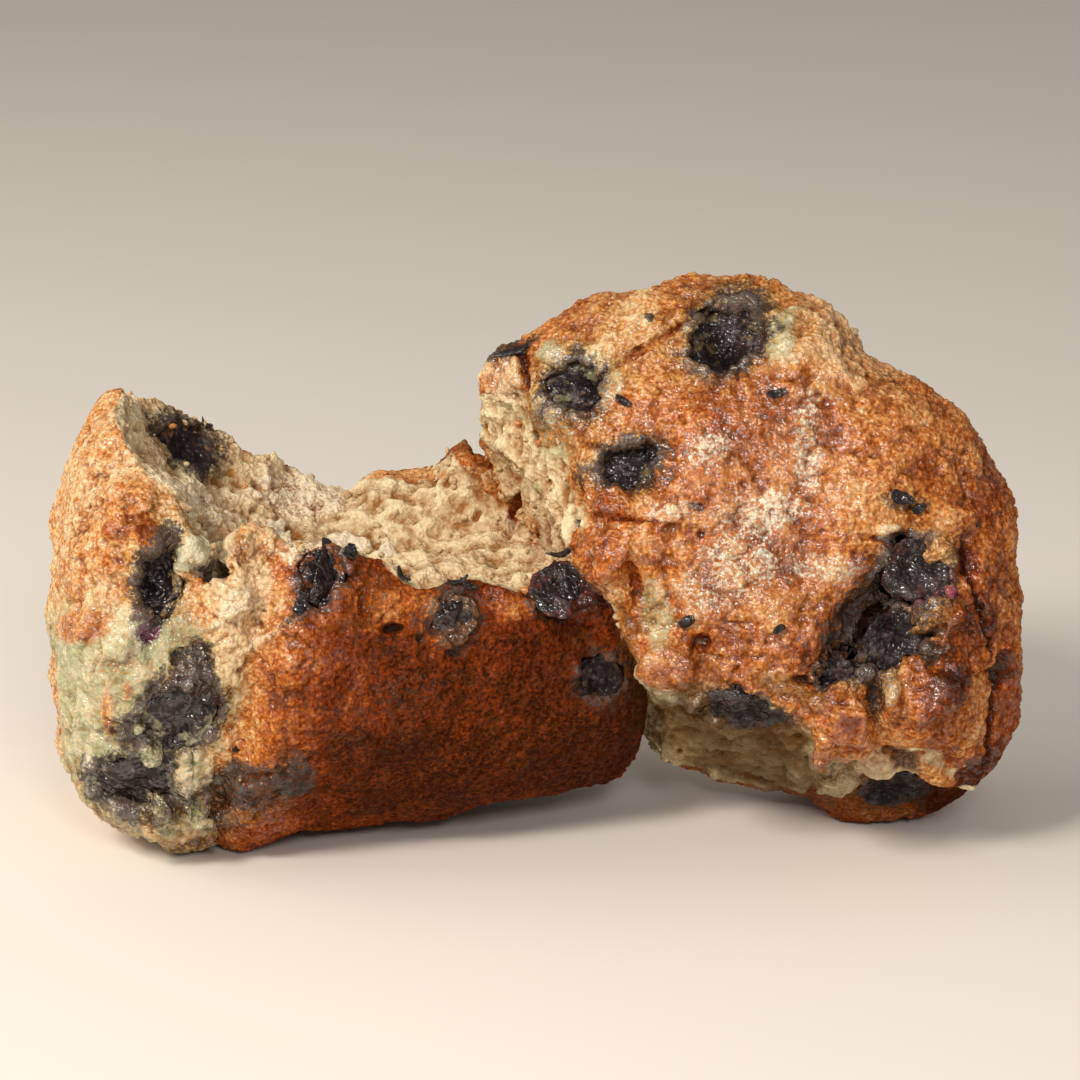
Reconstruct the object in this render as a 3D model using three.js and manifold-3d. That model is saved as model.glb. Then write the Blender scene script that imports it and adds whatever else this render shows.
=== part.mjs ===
// A blueberry muffin torn open by hand, in millimetres, +Z up.
// The left half lies on its side with its torn face up, its domed end to the left and its narrow base end
// to the right. The right half leans on it with its dome to the front, and both still hang together by the
// crumb between them.
// The muffin is one solid. Each baked blueberry that shows is a solid of its own, in a socket just larger
// than itself.
import * as THREE from "three";
import { mergeVertices } from "three/addons/utils/BufferGeometryUtils.js";
import { ImprovedNoise } from "three/addons/math/ImprovedNoise.js";
import Module from "manifold-3d";

const wasm = await Module();
wasm.setup();

const { clamp, degToRad, lerp, smoothstep } = THREE.MathUtils;
const at = (x, y, z) => new THREE.Vector3(x, y, z);

// ---- Driving sizes ---------------------------------------------------------------------------------------

const CELL = 2.9; // spacing of the mesh over the skin and the torn faces
const SOCKET_GAP = 0.35; // clear space between a berry and its socket

// The left half: its axis runs from the middle of the base end to the middle of the dome.
const LEFT = {
  origin: at(14.5, 6.5, 25.4),
  axis: at(-80, -9.5, 2.6).normalize(),
  // [distance from the base end, radius] of the skin
  skin: [
    [0, 0], [0.3, 9], [1.4, 16], [4.8, 20.2], [9.5, 22.2], [31, 26], [48, 28.4], [52.4, 28.2],
    [55.4, 25.2], [59, 26.4], [67, 27.6], [72.8, 25.6], [77, 20.2], [79.6, 11], [80.3, 0],
  ],
  // how far the skin reaches, as a share of its radius, in even steps from the top round by the front
  reach: [1.24, 1.08, 1.0, 1.0, 1.0, 0.98, 1.0, 1.02, 1.14],
  reachFrom: 50, // the distance from the base end at which that unevenness starts
  // how much the rim under the dome leans towards the base end as it rises, and where along the axis that
  // sets in, is full, starts to ease and is gone
  slant: { lean: 0.16, stations: [15, 52, 60, 78] },
  lumps: { size: 11, height: 1, seed: 3.1 },
  // lumps and dents of the skin that stand out
  bosses: [
    { place: at(-66, -9, 34), width: 7, height: 0.9 },
    { place: at(-65, -12, 21), width: 5, height: -1.6 },
    { place: at(-60, -20, 11), width: 7, height: 1.4 },
    { place: at(-53, -24, 36), width: 7, height: 1.2 },
    { place: at(-20, -26, 24), width: 9, height: 0.8 },
    { place: at(-45.5, -15, 3.5), width: 7, height: 2.4 }, // fills the fold under the rim, low at the front
  ],
};

// The right half: its axis runs from behind to the middle of the dome, which faces front, up and a little
// left.
const RIGHT_TURN = degToRad(9);
const RIGHT_LEAN = degToRad(16);
const RIGHT = {
  origin: at(26.6, -2, 37.2), // the middle of the dome's rim
  axis: at(
    -Math.sin(RIGHT_TURN) * Math.cos(RIGHT_LEAN),
    -Math.cos(RIGHT_TURN) * Math.cos(RIGHT_LEAN),
    Math.sin(RIGHT_LEAN),
  ),
  // [distance in front of the rim, radius] of the skin
  skin: [
    [-34, 0], [-33.6, 20], [-31, 27.5], [-14, 31.5], [-5.5, 33.6], [-3, 33], [1.5, 36.6], [7, 35.4],
    [13, 30], [17.6, 21], [20.2, 10], [20.8, 0],
  ],
  // how far the skin reaches, as a share of its radius, in even steps from the top round by the left
  reach: [
    1.03, 1.06, 1.11, 1.16, 1.12, 1, 0.97, 0.97, 0.97, 0.98, 1.06, 1.2, 1.15, 1.05, 0.98, 0.95, 0.91, 0.97,
  ],
  reachFrom: -34,
  lumps: { size: 12, height: 1, seed: 7.7 },
  bosses: [
    { place: at(44, 0, 66), width: 6, height: -3 }, // the notch at the top right
    { place: at(53, -11, 55), width: 9, height: 1.4 },
    { place: at(-6, 2, 60), width: 4, height: 2.4 }, // the golden lump at the top left
    { place: at(8, -15, 47), width: 4.5, height: 1.6 },
    { place: at(9, -17, 40.5), width: 4, height: 2 },
    { place: at(16, -22, 28), width: 4, height: 1.8 },
    { place: at(38, -27, 24.5), width: 4, height: 1.5 }, // the flap over the torn edge
    { place: at(47, -21, 25.5), width: 4.5, height: 2.6 },
    { place: at(44, -24, 36), width: 7, height: -2 }, // the hollow that the large berries lie in
    { place: at(56, -13, 44), width: 6, height: 1.2 },
  ],
};
const REACH_EASE = 12; // how far along its axis a half's reach takes to set in

// The crust under the right half that it stands on.
const FOOT = { place: at(46, 0, 22), size: [18, 14, 22.6], detail: 7, lumps: 9, seed: 41.3 };

// The torn face of the left half, as heights over the floor at places along X: [x, z].
const LEFT_TEAR = {
  middle: at(-25, -0.5, 0),
  span: [96, 76],
  halfWidth: 26, // from the middle to the crust at its rim
  seed: 11.3,
  frontRim: [
    [-66, 62], [-56, 62], [-47, 52], [-43.5, 45], [-41, 39], [-37.6, 48.6], [-33, 45.8], [-27, 44.6],
    [-21, 44.4], [-18, 40], [-15, 38.4], [-11, 39.4], [-5, 39.2], [-1, 38.4], [1, 40.8], [5, 42.3],
    [8, 38], [16, 34],
  ],
  hollow: [
    [-66, 62], [-57, 62], [-52, 53], [-47, 47], [-42, 40], [-36, 36.5], [-25, 35.2], [-10, 35.5], [5, 37],
    [16, 38],
  ],
  backRim: [
    [-66, 62], [-56, 62], [-50, 54.6], [-45, 50.6], [-40, 46.4], [-33, 40.6], [-29, 38.8], [-25, 38.4],
    [-23, 42.4], [-13, 42.7], [-12, 46.9], [-8, 48.7], [16, 48],
  ],
};

// The torn faces of the right half: a point on each and the way each faces.
const RIGHT_TEARS = [
  { place: at(27, -23.5, 23.5), facing: at(-0.18, -0.62, -0.76), seed: 21.9 }, // under the dome
  { place: at(8, -15, 36.7), facing: at(-0.83, -0.3, -0.43), seed: 24.1 }, // its lower left corner
  { place: at(4, -14, 45), facing: at(-0.84, -0.52, 0.16), seed: 26.3 }, // its left side
  { place: at(26, 15.5, 36), facing: at(-0.15, 0.96, -0.22), seed: 31.7 }, // its back
];
const RIGHT_TEAR_SPAN = 112; // a torn face of the right half is cut by a square of crumb this wide
const TEAR_DEPTH = 90; // how far the space outside a torn face goes out

// Torn crumb's lumps and the hollows between them: how wide and how high.
const CRAGS = [
  { size: 8, height: 1.3 },
  { size: 4.2, height: 0.7 },
];
const SWELLS = { size: 22, height: 2 }; // the wide waves of the right half's torn faces

// The berries: the place on the surface that each shows at, the way it faces, its half widths across, up
// and deep, its turn in degrees, and how deep its dent in the skin is.
const BERRIES = {
  left_inside: {
    place: at(-48, 9, 49), facing: at(0.6, -0.45, 0.65),
    size: [5, 4, 4], turn: 15, dent: 0,
  },
  left_end_upper: {
    place: at(-48.5, -26, 42), facing: at(0, -0.95, 0.3),
    size: [3, 5.6, 3.6], turn: -12, dent: 1.6,
  },
  left_end_middle: {
    place: at(-46.2, -28, 23.8), facing: at(0.1, -0.98, -0.1),
    size: [4.7, 5.4, 3.7], turn: -25, dent: 1.2,
  },
  left_end_lower: {
    place: at(-52.5, -25, 13), facing: at(-0.1, -0.9, -0.4),
    size: [6, 4.4, 3.8], turn: 12, dent: 1.2,
  },
  left_rim_first: {
    place: at(-28, -23.5, 41.2), facing: at(0.05, -0.9, 0.42),
    size: [3, 4.3, 3], turn: -20, dent: 0.9,
  },
  left_rim_second: {
    place: at(-11, -22, 35.5), facing: at(0.1, -0.97, 0.2),
    size: [3, 3, 2.8], turn: 0, dent: 0.9,
  },
  left_rim_third: {
    place: at(3.2, -17, 38), facing: at(0.2, -0.85, 0.5),
    size: [4.2, 3.4, 3.4], turn: 10, dent: 0.5,
  },
  left_side: {
    place: at(8, -17, 25.2), facing: at(0.25, -0.96, 0.05),
    size: [3.2, 3, 2.8], turn: -10, dent: 1.2,
  },
  dome_top: {
    place: at(24.3, -6.3, 69.4), facing: at(-0.05, -0.7, 0.72),
    size: [4.8, 6.2, 4.4], turn: -25, dent: 2.4,
  },
  dome_left: {
    place: at(4.2, -6, 62), facing: at(-0.35, -0.75, 0.56),
    size: [4.8, 4.6, 4], turn: 0, dent: 2,
  },
  dome_left_lower: {
    place: at(11, -14.3, 53.8), facing: at(-0.28, -0.86, 0.43),
    size: [5.3, 3.2, 3.4], turn: 20, dent: 1.8,
  },
  dome_right_upper: {
    place: at(48.6, -22.2, 41.8), facing: at(0.25, -0.92, 0.25),
    size: [4.2, 4, 3.8], turn: 0, dent: 1,
  },
  dome_right_lower: {
    place: at(46, -24, 32.4), facing: at(0.14, -0.95, 0.2),
    size: [4.4, 4, 4], turn: 35, dent: 1,
  },
  dome_right_small: {
    place: at(38, -25.8, 28.6), facing: at(0.1, -0.95, 0.3),
    size: [2.8, 2.8, 2.6], turn: 0, dent: 1,
  },
  under_dome: {
    place: at(26, -24.2, 23.2), facing: at(-0.1, -0.9, -0.4),
    size: [5.4, 2.6, 3.2], turn: -4, dent: 0,
  },
  foot: {
    place: at(47.2, -12, 7.6), facing: at(0, -0.9, -0.35),
    size: [4, 2.8, 2.8], turn: 15, dent: 0,
  },
  back_left: {
    place: at(-20, 31, 24), facing: at(0.1, 0.99, 0),
    size: [4.4, 4, 3.4], turn: 20, dent: 1.6,
  },
  back_torn: {
    place: at(24, 19, 40), facing: at(-0.19, 0.895, -0.4),
    size: [4.6, 4.2, 3.8], turn: 0, dent: 0,
  },
};
const BERRY_SUNK = 0.35; // how much of its half depth a berry's middle lies under the bottom of its dent
const BERRY_WRINKLE = { size: 0.7, height: 0.09 }; // as shares of the berry's own size
const DENT_WIDTH = 0.75; // of a dent, as a share of its berry's half widths added up

// ---- Helpers ---------------------------------------------------------------------------------------------

const noise = new ImprovedNoise();
const UP = at(0, 0, 1);

// Smooth noise from about -1 to 1, with bumps about as wide as size. seed moves it to another part of the
// pattern.
function bumps(p, size, seed) {
  return 1.6 * noise.noise(p.x / size + seed, p.y / size + 2 * seed, p.z / size - seed);
}

// The value at x of a line through [x, value] places, eased between them.
function along(places, x) {
  const next = places.findIndex(([place]) => place >= x);
  if (next === 0) return places[0][1];
  if (next < 0) return places.at(-1)[1];
  const [x0, v0] = places[next - 1];
  const [x1, v1] = places[next];
  return lerp(v0, v1, smoothstep(x, x0, x1));
}

// A closed geometry as a solid that can be cut and joined.
function solidOf(geometry) {
  const bare = new THREE.BufferGeometry().setAttribute("position", geometry.attributes.position);
  bare.setIndex(geometry.index);
  const merged = mergeVertices(bare, 1e-3);
  const corners = merged.index.array;
  const kept = [];
  for (let i = 0; i < corners.length; i += 3) {
    const [a, b, c] = corners.slice(i, i + 3);
    if (a !== b && b !== c && c !== a) kept.push(a, b, c);
  }
  return new wasm.Manifold(
    new wasm.Mesh({
      numProp: 3,
      vertProperties: new Float32Array(merged.attributes.position.array),
      triVerts: new Uint32Array(kept),
    }),
  );
}

// A solid as a geometry for a mesh.
function geometryOf(solid) {
  const mesh = solid.getMesh();
  const geometry = new THREE.BufferGeometry();
  geometry.setAttribute("position", new THREE.BufferAttribute(new Float32Array(mesh.vertProperties), 3));
  geometry.setIndex(new THREE.BufferAttribute(new Uint32Array(mesh.triVerts), 1));
  geometry.computeVertexNormals();
  return geometry;
}

// Moves every vertex of a geometry by a function that changes the point it is given.
function reshape(geometry, move) {
  const { position } = geometry.attributes;
  const point = new THREE.Vector3();
  for (let i = 0; i < position.count; i++) {
    point.fromBufferAttribute(position, i);
    move(point);
    position.setXYZ(i, point.x, point.y, point.z);
  }
  return geometry;
}

// The matrix that carries the Y axis to direction, Z to near up, and the origin to place.
function frameOf(place, direction, up) {
  const y = direction.clone().normalize();
  const x = new THREE.Vector3().crossVectors(y, up).normalize();
  const z = new THREE.Vector3().crossVectors(x, y);
  return new THREE.Matrix4().makeBasis(x, y, z).setPosition(place);
}

// ---- The two halves --------------------------------------------------------------------------------------

// How far a half's skin reaches at a distance along its axis and an angle from its top, as a share of its
// radius.
function reachAt(half, station, angle) {
  const steps = half.reach.length;
  const turned = ((angle / (2 * Math.PI)) * steps + steps) % steps;
  const before = Math.floor(turned);
  const share = smoothstep(turned - before, 0, 1);
  const reach = lerp(half.reach[before % steps], half.reach[(before + 1) % steps], share);
  return lerp(1, reach, smoothstep(station, half.reachFrom, half.reachFrom + REACH_EASE));
}

// How far back towards the base end a half's skin is slanted, at a distance along its axis and a height
// over it.
function slantAt(half, station, height) {
  if (!half.slant) return 0;
  const [start, full, easing, end] = half.slant.stations;
  return half.slant.lean * height * smoothstep(station, start, full) * (1 - smoothstep(station, easing, end));
}

// The dents that the skin sinks into round the berries.
const dents = Object.values(BERRIES).map(({ place, size: [wide, tall], dent }) => ({
  place,
  width: DENT_WIDTH * (wide + tall),
  height: -dent,
}));

// How far the skin stands out at a point, for its lumps, its bosses and its dents.
function reliefAt(half, point) {
  const { size, height, seed } = half.lumps;
  return [...half.bosses, ...dents].reduce(
    (relief, boss) => relief + boss.height * Math.exp(-((point.distanceTo(boss.place) / boss.width) ** 2)),
    height * (bumps(point, size, seed) + 0.5 * bumps(point, size / 2.2, seed + 9)),
  );
}

// A ball whose triangles come out about CELL wide once it is drawn out to the shape that an outline turns to.
function ballFor(outline) {
  const steps = 60;
  const ring = outline.getSpacedPoints(steps).reduce((sum, { x: radius }) => sum + 2 * Math.PI * radius, 0);
  const area = (ring * outline.getLength()) / steps;
  const triangle = (Math.sqrt(3) / 4) * CELL * CELL;
  return new THREE.IcosahedronGeometry(1, Math.round(Math.sqrt(area / triangle / 20)) - 1);
}

// A half before it is torn: its skin turned round its axis, with its uneven reach and its relief.
function wholeHalf(half) {
  const places = half.skin.map(([station, radius]) => new THREE.Vector2(radius, station));
  const outline = new THREE.SplineCurve(places);
  const frame = frameOf(half.origin, half.axis, UP);
  const outward = new THREE.Vector3();
  const geometry = reshape(ballFor(outline), (point) => {
    const share = 1 - Math.acos(clamp(point.y, -1, 1)) / Math.PI;
    const { x: radius, y: station } = outline.getPointAt(share);
    const slope = outline.getTangentAt(share);
    const angle = Math.atan2(point.x, point.z);
    const reach = reachAt(half, station, angle);
    point.set(radius * reach * Math.sin(angle), station, radius * reach * Math.cos(angle));
    point.y -= slantAt(half, station, point.z);
    point.applyMatrix4(frame);
    outward.set(slope.y * Math.sin(angle), -slope.x, slope.y * Math.cos(angle)).transformDirection(frame);
    point.addScaledVector(outward, reliefAt(half, point));
  });
  return solidOf(geometry);
}

// A block whose near face is torn crumb: depthAt(a, b) says how far out, along the block's own axis, the
// crumb stands.
function tornBlock(wide, tall, frame, depthAt) {
  const geometry = new THREE.BoxGeometry(wide, 1, tall, Math.round(wide / CELL), 1, Math.round(tall / CELL));
  reshape(geometry, (point) => {
    point.y = point.y < 0 ? depthAt(point.x, point.z) : TEAR_DEPTH;
    point.applyMatrix4(frame);
  });
  return solidOf(geometry);
}

// How far torn crumb stands out: craggy, with hollows a few millimetres across.
function crags(a, b, seed) {
  const place = at(a, b, seed);
  return CRAGS.reduce((sum, { size, height }, i) => sum + height * bumps(place, size, seed + 5 * i), 0);
}

// The space above the left half's torn face.
function leftTear() {
  const { middle, span, halfWidth, seed, frontRim, hollow, backRim } = LEFT_TEAR;
  const frame = frameOf(middle, UP, at(0, 1, 0));
  const xStep = frame.elements[0]; // the block's own first direction runs along X, forwards or backwards
  return tornBlock(...span, frame, (a, b) => {
    const x = middle.x + xStep * a;
    const toFront = smoothstep(-b / halfWidth, 0.3, 0.85);
    const toBack = smoothstep(b / halfWidth, 0.3, 0.85);
    const floor = along(hollow, x);
    const front = toFront * (along(frontRim, x) - floor);
    const back = toBack * (along(backRim, x) - floor);
    return floor + front + back + crags(a, b, seed);
  });
}

// The space outside one torn face of the right half.
function rightTear({ place, facing, seed }) {
  const frame = frameOf(place, facing, UP);
  return tornBlock(RIGHT_TEAR_SPAN, RIGHT_TEAR_SPAN, frame, (a, b) => {
    return SWELLS.height * bumps(at(a, b, 0), SWELLS.size, seed) + crags(a, b, seed);
  });
}

// The lump of crust under the right half.
function foot() {
  const { place, size, detail, lumps, seed } = FOOT;
  const geometry = new THREE.IcosahedronGeometry(1, detail).scale(...size);
  const outward = new THREE.Vector3();
  reshape(geometry, (point) => {
    outward.copy(point).normalize();
    point.addScaledVector(outward, bumps(point, lumps, seed)).add(place);
  });
  return solidOf(geometry);
}

// The space below the floor.
function underFloor() {
  return solidOf(new THREE.BoxGeometry(300, 300, 100).translate(0, 0, -50));
}

// The muffin before its sockets are cut.
function bareMuffin() {
  const left = wholeHalf(LEFT).subtract(leftTear());
  const right = RIGHT_TEARS.reduce((half, tear) => half.subtract(rightTear(tear)), wholeHalf(RIGHT));
  return left.add(right).add(foot()).subtract(underFloor());
}

// ---- The berries -----------------------------------------------------------------------------------------

// A baked berry, squashed and a little wrinkled, or the socket that it lies in when gap is its clear space.
function berryGeometry({ place, facing, size: [wide, tall, deep], turn, dent }, seed, gap) {
  const frame = frameOf(place, facing, UP);
  return reshape(new THREE.IcosahedronGeometry(1, 1), (point) => {
    const wrinkle = 1 + BERRY_WRINKLE.height * bumps(point, BERRY_WRINKLE.size, seed);
    point.multiply(at(wide, deep, tall)).multiplyScalar(wrinkle);
    point.multiplyScalar(1 + gap / point.length());
    point.applyAxisAngle(at(0, 1, 0), degToRad(turn));
    point.y -= dent + BERRY_SUNK * deep;
    point.applyMatrix4(frame);
  });
}

// ---- Assembly --------------------------------------------------------------------------------------------

const finish = {
  crust: new THREE.MeshStandardMaterial({ name: "crust", color: 0xb5703a, roughness: 0.7, metalness: 0 }),
  berry: new THREE.MeshStandardMaterial({ name: "berry", color: 0x3a2c3c, roughness: 0.45, metalness: 0 }),
};

function named(name, geometry, material) {
  const mesh = new THREE.Mesh(geometry, material);
  mesh.name = name;
  return mesh;
}

// The largest of a solid's loose bodies.
function largestBody(solid) {
  return solid.decompose().reduce((most, body) => (body.volume() > most.volume() ? body : most));
}

const group = new THREE.Group();
let muffin = bareMuffin();
Object.entries(BERRIES).forEach(([name, berry], seed) => {
  muffin = muffin.subtract(solidOf(berryGeometry(berry, seed, SOCKET_GAP)));
  group.add(named(`berry_${name}`, berryGeometry(berry, seed, 0), finish.berry));
});
group.add(named("muffin", geometryOf(largestBody(muffin)), finish.crust));

// The origin is on the floor under the middle of the whole.
const middle = new THREE.Box3().setFromObject(group).getCenter(new THREE.Vector3());
group.position.set(-middle.x, -middle.y, 0);

export default group;
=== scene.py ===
"""The looks of a blueberry muffin torn in two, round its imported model.

Lengths are in millimetres until they go into a mesh. Places on the front of the muffin are laid out on a
square picture plane in front of the camera, in pixels from its top left corner, and each is carried back
along its line of sight to the surface it lies on.
"""

from __future__ import annotations

import itertools
import logging
import math
from dataclasses import dataclass, field
from enum import Enum
from functools import partial

import bmesh
import bpy
import numpy as np
from mathutils import Matrix, Vector

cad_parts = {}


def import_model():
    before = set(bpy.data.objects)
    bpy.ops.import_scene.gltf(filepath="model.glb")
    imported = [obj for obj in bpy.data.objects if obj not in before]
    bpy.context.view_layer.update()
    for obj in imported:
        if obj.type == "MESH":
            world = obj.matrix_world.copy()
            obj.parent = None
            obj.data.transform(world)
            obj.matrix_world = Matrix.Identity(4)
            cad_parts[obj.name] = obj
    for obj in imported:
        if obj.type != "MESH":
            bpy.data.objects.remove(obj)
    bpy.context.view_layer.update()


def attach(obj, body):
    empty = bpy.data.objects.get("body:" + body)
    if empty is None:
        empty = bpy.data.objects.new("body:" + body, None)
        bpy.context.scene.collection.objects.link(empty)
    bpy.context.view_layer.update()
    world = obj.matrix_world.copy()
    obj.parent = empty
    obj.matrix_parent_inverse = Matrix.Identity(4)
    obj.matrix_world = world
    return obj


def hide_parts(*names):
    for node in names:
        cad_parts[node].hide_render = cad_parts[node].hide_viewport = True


LOG = logging.getLogger("muffin")

MM = 0.001
BODY = "root"
VOXEL = 0.36  # spacing of the muffin's fine mesh
# How far the model's frame is moved from the frame that the halves are measured in
CENTRING = np.array([1.06, -1.35, 0.0])

Colour = tuple[int, int, int]
Pair = tuple[float, float]
Triple = tuple[float, float, float]


def linear(colour: Colour) -> tuple[float, float, float, float]:
    """A colour as it looks on screen, from 0 to 255, as light.

    Args:
        colour: its red, green and blue.

    Returns:
        Red, green, blue and alpha for a socket.
    """
    parts = [part / 255 for part in colour]
    light = [part / 12.92 if part < 0.04045 else ((part + 0.055) / 1.055) ** 2.4 for part in parts]
    return (*light, 1.0)


def ease(values: np.ndarray, low: float, high: float) -> np.ndarray:
    """Values eased from 0 at low to 1 at high."""
    share = np.clip((values - low) / (high - low), 0, 1)
    return share * share * (3 - 2 * share)


def unit(vectors: np.ndarray) -> np.ndarray:
    """Vectors made one long."""
    return vectors / np.maximum(np.linalg.norm(vectors, axis=-1, keepdims=True), 1e-9)


def linked(name: str, data: bpy.types.ID) -> bpy.types.Object:
    """A new object in the scene."""
    thing = bpy.data.objects.new(name, data)
    bpy.context.scene.collection.objects.link(thing)
    return thing


def as_mesh(loose: bmesh.types.BMesh, name: str, finish: bpy.types.Material) -> bpy.types.Mesh:
    """Turns loose geometry into a smooth mesh, and frees it.

    Args:
        loose: the geometry.
        name: of the mesh.
        finish: its material.

    Returns:
        The mesh.
    """
    for face in loose.faces:
        face.smooth = True
    mesh = bpy.data.meshes.new(name)
    loose.to_mesh(mesh)
    loose.free()
    mesh.materials.append(finish)
    return mesh


def triples(items: bpy.types.bpy_prop_collection, kind: str) -> np.ndarray:
    """Three numbers for each item of a mesh, such as a point's place."""
    flat = np.empty(len(items) * 3, np.float32)
    items.foreach_get(kind, flat)
    return flat.reshape(-1, 3)


class Grain:
    """Seeded noise in three dimensions, read at many points at once."""

    SLOTS = 4096
    # Large numbers that scatter neighbouring cells, and seeds, over the rows of the tables
    SCATTER = np.array([73856093, 19349663, 83492791])
    SCATTER_AGAIN = 1274126177
    SCATTER_SEED = 7919

    def __init__(self, seed: int) -> None:
        """Draws the tables that the noise is read from.

        Args:
            seed: which noise it is.
        """
        draws = np.random.default_rng(seed)
        self.seed = seed
        self.slopes = unit(draws.normal(size=(self.SLOTS, 3))).astype(np.float32)
        self.places = draws.random((self.SLOTS, 3)).astype(np.float32)

    def _slot(self, cells: np.ndarray) -> np.ndarray:
        """The row of the tables that belongs to each cell."""
        mixed = np.bitwise_xor.reduce(cells * self.SCATTER, axis=1)
        mixed = (mixed ^ (mixed >> 13)) * self.SCATTER_AGAIN + self.seed * self.SCATTER_SEED
        return (mixed ^ (mixed >> 16)) & (self.SLOTS - 1)

    def waves(self, points: np.ndarray, size: float) -> np.ndarray:
        """Smooth bumps and hollows.

        Args:
            points: where it is read.
            size: about how wide a bump is.

        Returns:
            A value from about -1 to 1 for each point.
        """
        scaled = (points / size).astype(np.float32)
        base = np.floor(scaled)
        inside = scaled - base
        cells = base.astype(np.int64)
        fade = inside**3 * (inside * (inside * 6 - 15) + 10)
        total = np.zeros(len(points), np.float32)
        for corner in itertools.product((0, 1), repeat=3):
            step = np.array(corner)
            slope = self.slopes[self._slot(cells + step)]
            weight = np.prod(np.where(step, fade, 1 - fade), axis=1)
            total += weight * np.einsum("ij,ij->i", slope, inside - step.astype(np.float32))
        return total * 1.7

    def cells(self, points: np.ndarray, size: float) -> tuple[np.ndarray, np.ndarray]:
        """Distances to scattered seeds, which make round grains with creases between them.

        Args:
            points: where it is read.
            size: about how far apart the seeds are.

        Returns:
            For each point, the distances to its nearest and its second nearest seed, as shares of size.
        """
        scaled = (points / size).astype(np.float32)
        base = np.floor(scaled)
        inside = scaled - base
        cells = base.astype(np.int64)
        first = np.full(len(points), 9.0, np.float32)
        second = first.copy()
        for corner in itertools.product((-1, 0, 1), repeat=3):
            step = np.array(corner)
            away = self.places[self._slot(cells + step)] + step.astype(np.float32) - inside
            distance = np.einsum("ij,ij->i", away, away)
            second = np.minimum(second, np.maximum(first, distance))
            first = np.minimum(first, distance)
        return np.sqrt(first), np.sqrt(second)

    def lumps(self, points: np.ndarray, size: float) -> np.ndarray:
        """Round lumps that run softly into each other, from about -0.4 between them to 0.5 on top."""
        first, second = self.cells(points, size)
        return 0.5 + np.log(np.exp(-8 * first) + np.exp(-8 * second)) / 8


# ---- The front view ----------------------------------------------------------------------------------------


@dataclass(frozen=True)
class FrontView:
    """The camera that the muffin is looked at with, and its picture plane.

    Attributes:
        height: of the point it looks at, over the floor.
        elevation: how far it looks down, in degrees.
        distance: from the point it looks at.
        lens: its focal length.
        sensor: the width of its sensor.
        picture: the width of its picture, in pixels.
    """

    height: float = 39.1
    elevation: float = 17.0
    distance: float = 500.0
    lens: float = 125.0
    sensor: float = 36.0
    picture: float = 1080.0

    @property
    def target(self) -> np.ndarray:
        """The point it looks at."""
        return CENTRING + (0, 0, self.height)

    @property
    def axes(self) -> tuple[np.ndarray, np.ndarray, np.ndarray]:
        """The ways right, up and back to the camera."""
        angle = math.radians(self.elevation)
        up = np.array([0, math.sin(angle), math.cos(angle)])
        back = np.array([0, -math.cos(angle), math.sin(angle)])
        return np.array([1.0, 0, 0]), up, back

    def project(self, points: np.ndarray) -> tuple[np.ndarray, np.ndarray, np.ndarray]:
        """Where points show.

        Args:
            points: places on the muffin.

        Returns:
            Their pixels across and down, and how far each is from the camera.
        """
        right, up, back = self.axes
        away = points - self.target
        depth = self.distance - away @ back
        scale = self.picture * self.lens / self.sensor / depth
        middle = self.picture / 2
        return middle + (away @ right) * scale, middle - (away @ up) * scale, depth

    def camera(self) -> bpy.types.Object:
        """Makes the camera itself.

        Returns:
            The camera.
        """
        data = bpy.data.cameras.new("front_view")
        data.lens = self.lens
        data.sensor_width = self.sensor
        right, up, back = self.axes
        turned = Matrix([right, up, back]).transposed()
        place = Vector((self.target + self.distance * back) * MM)
        camera = linked("front_view", data)
        camera.matrix_world = Matrix.Translation(place) @ turned.to_4x4()
        return camera


VIEW = FrontView()


# ---- The form of the two halves ----------------------------------------------------------------------------


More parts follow.
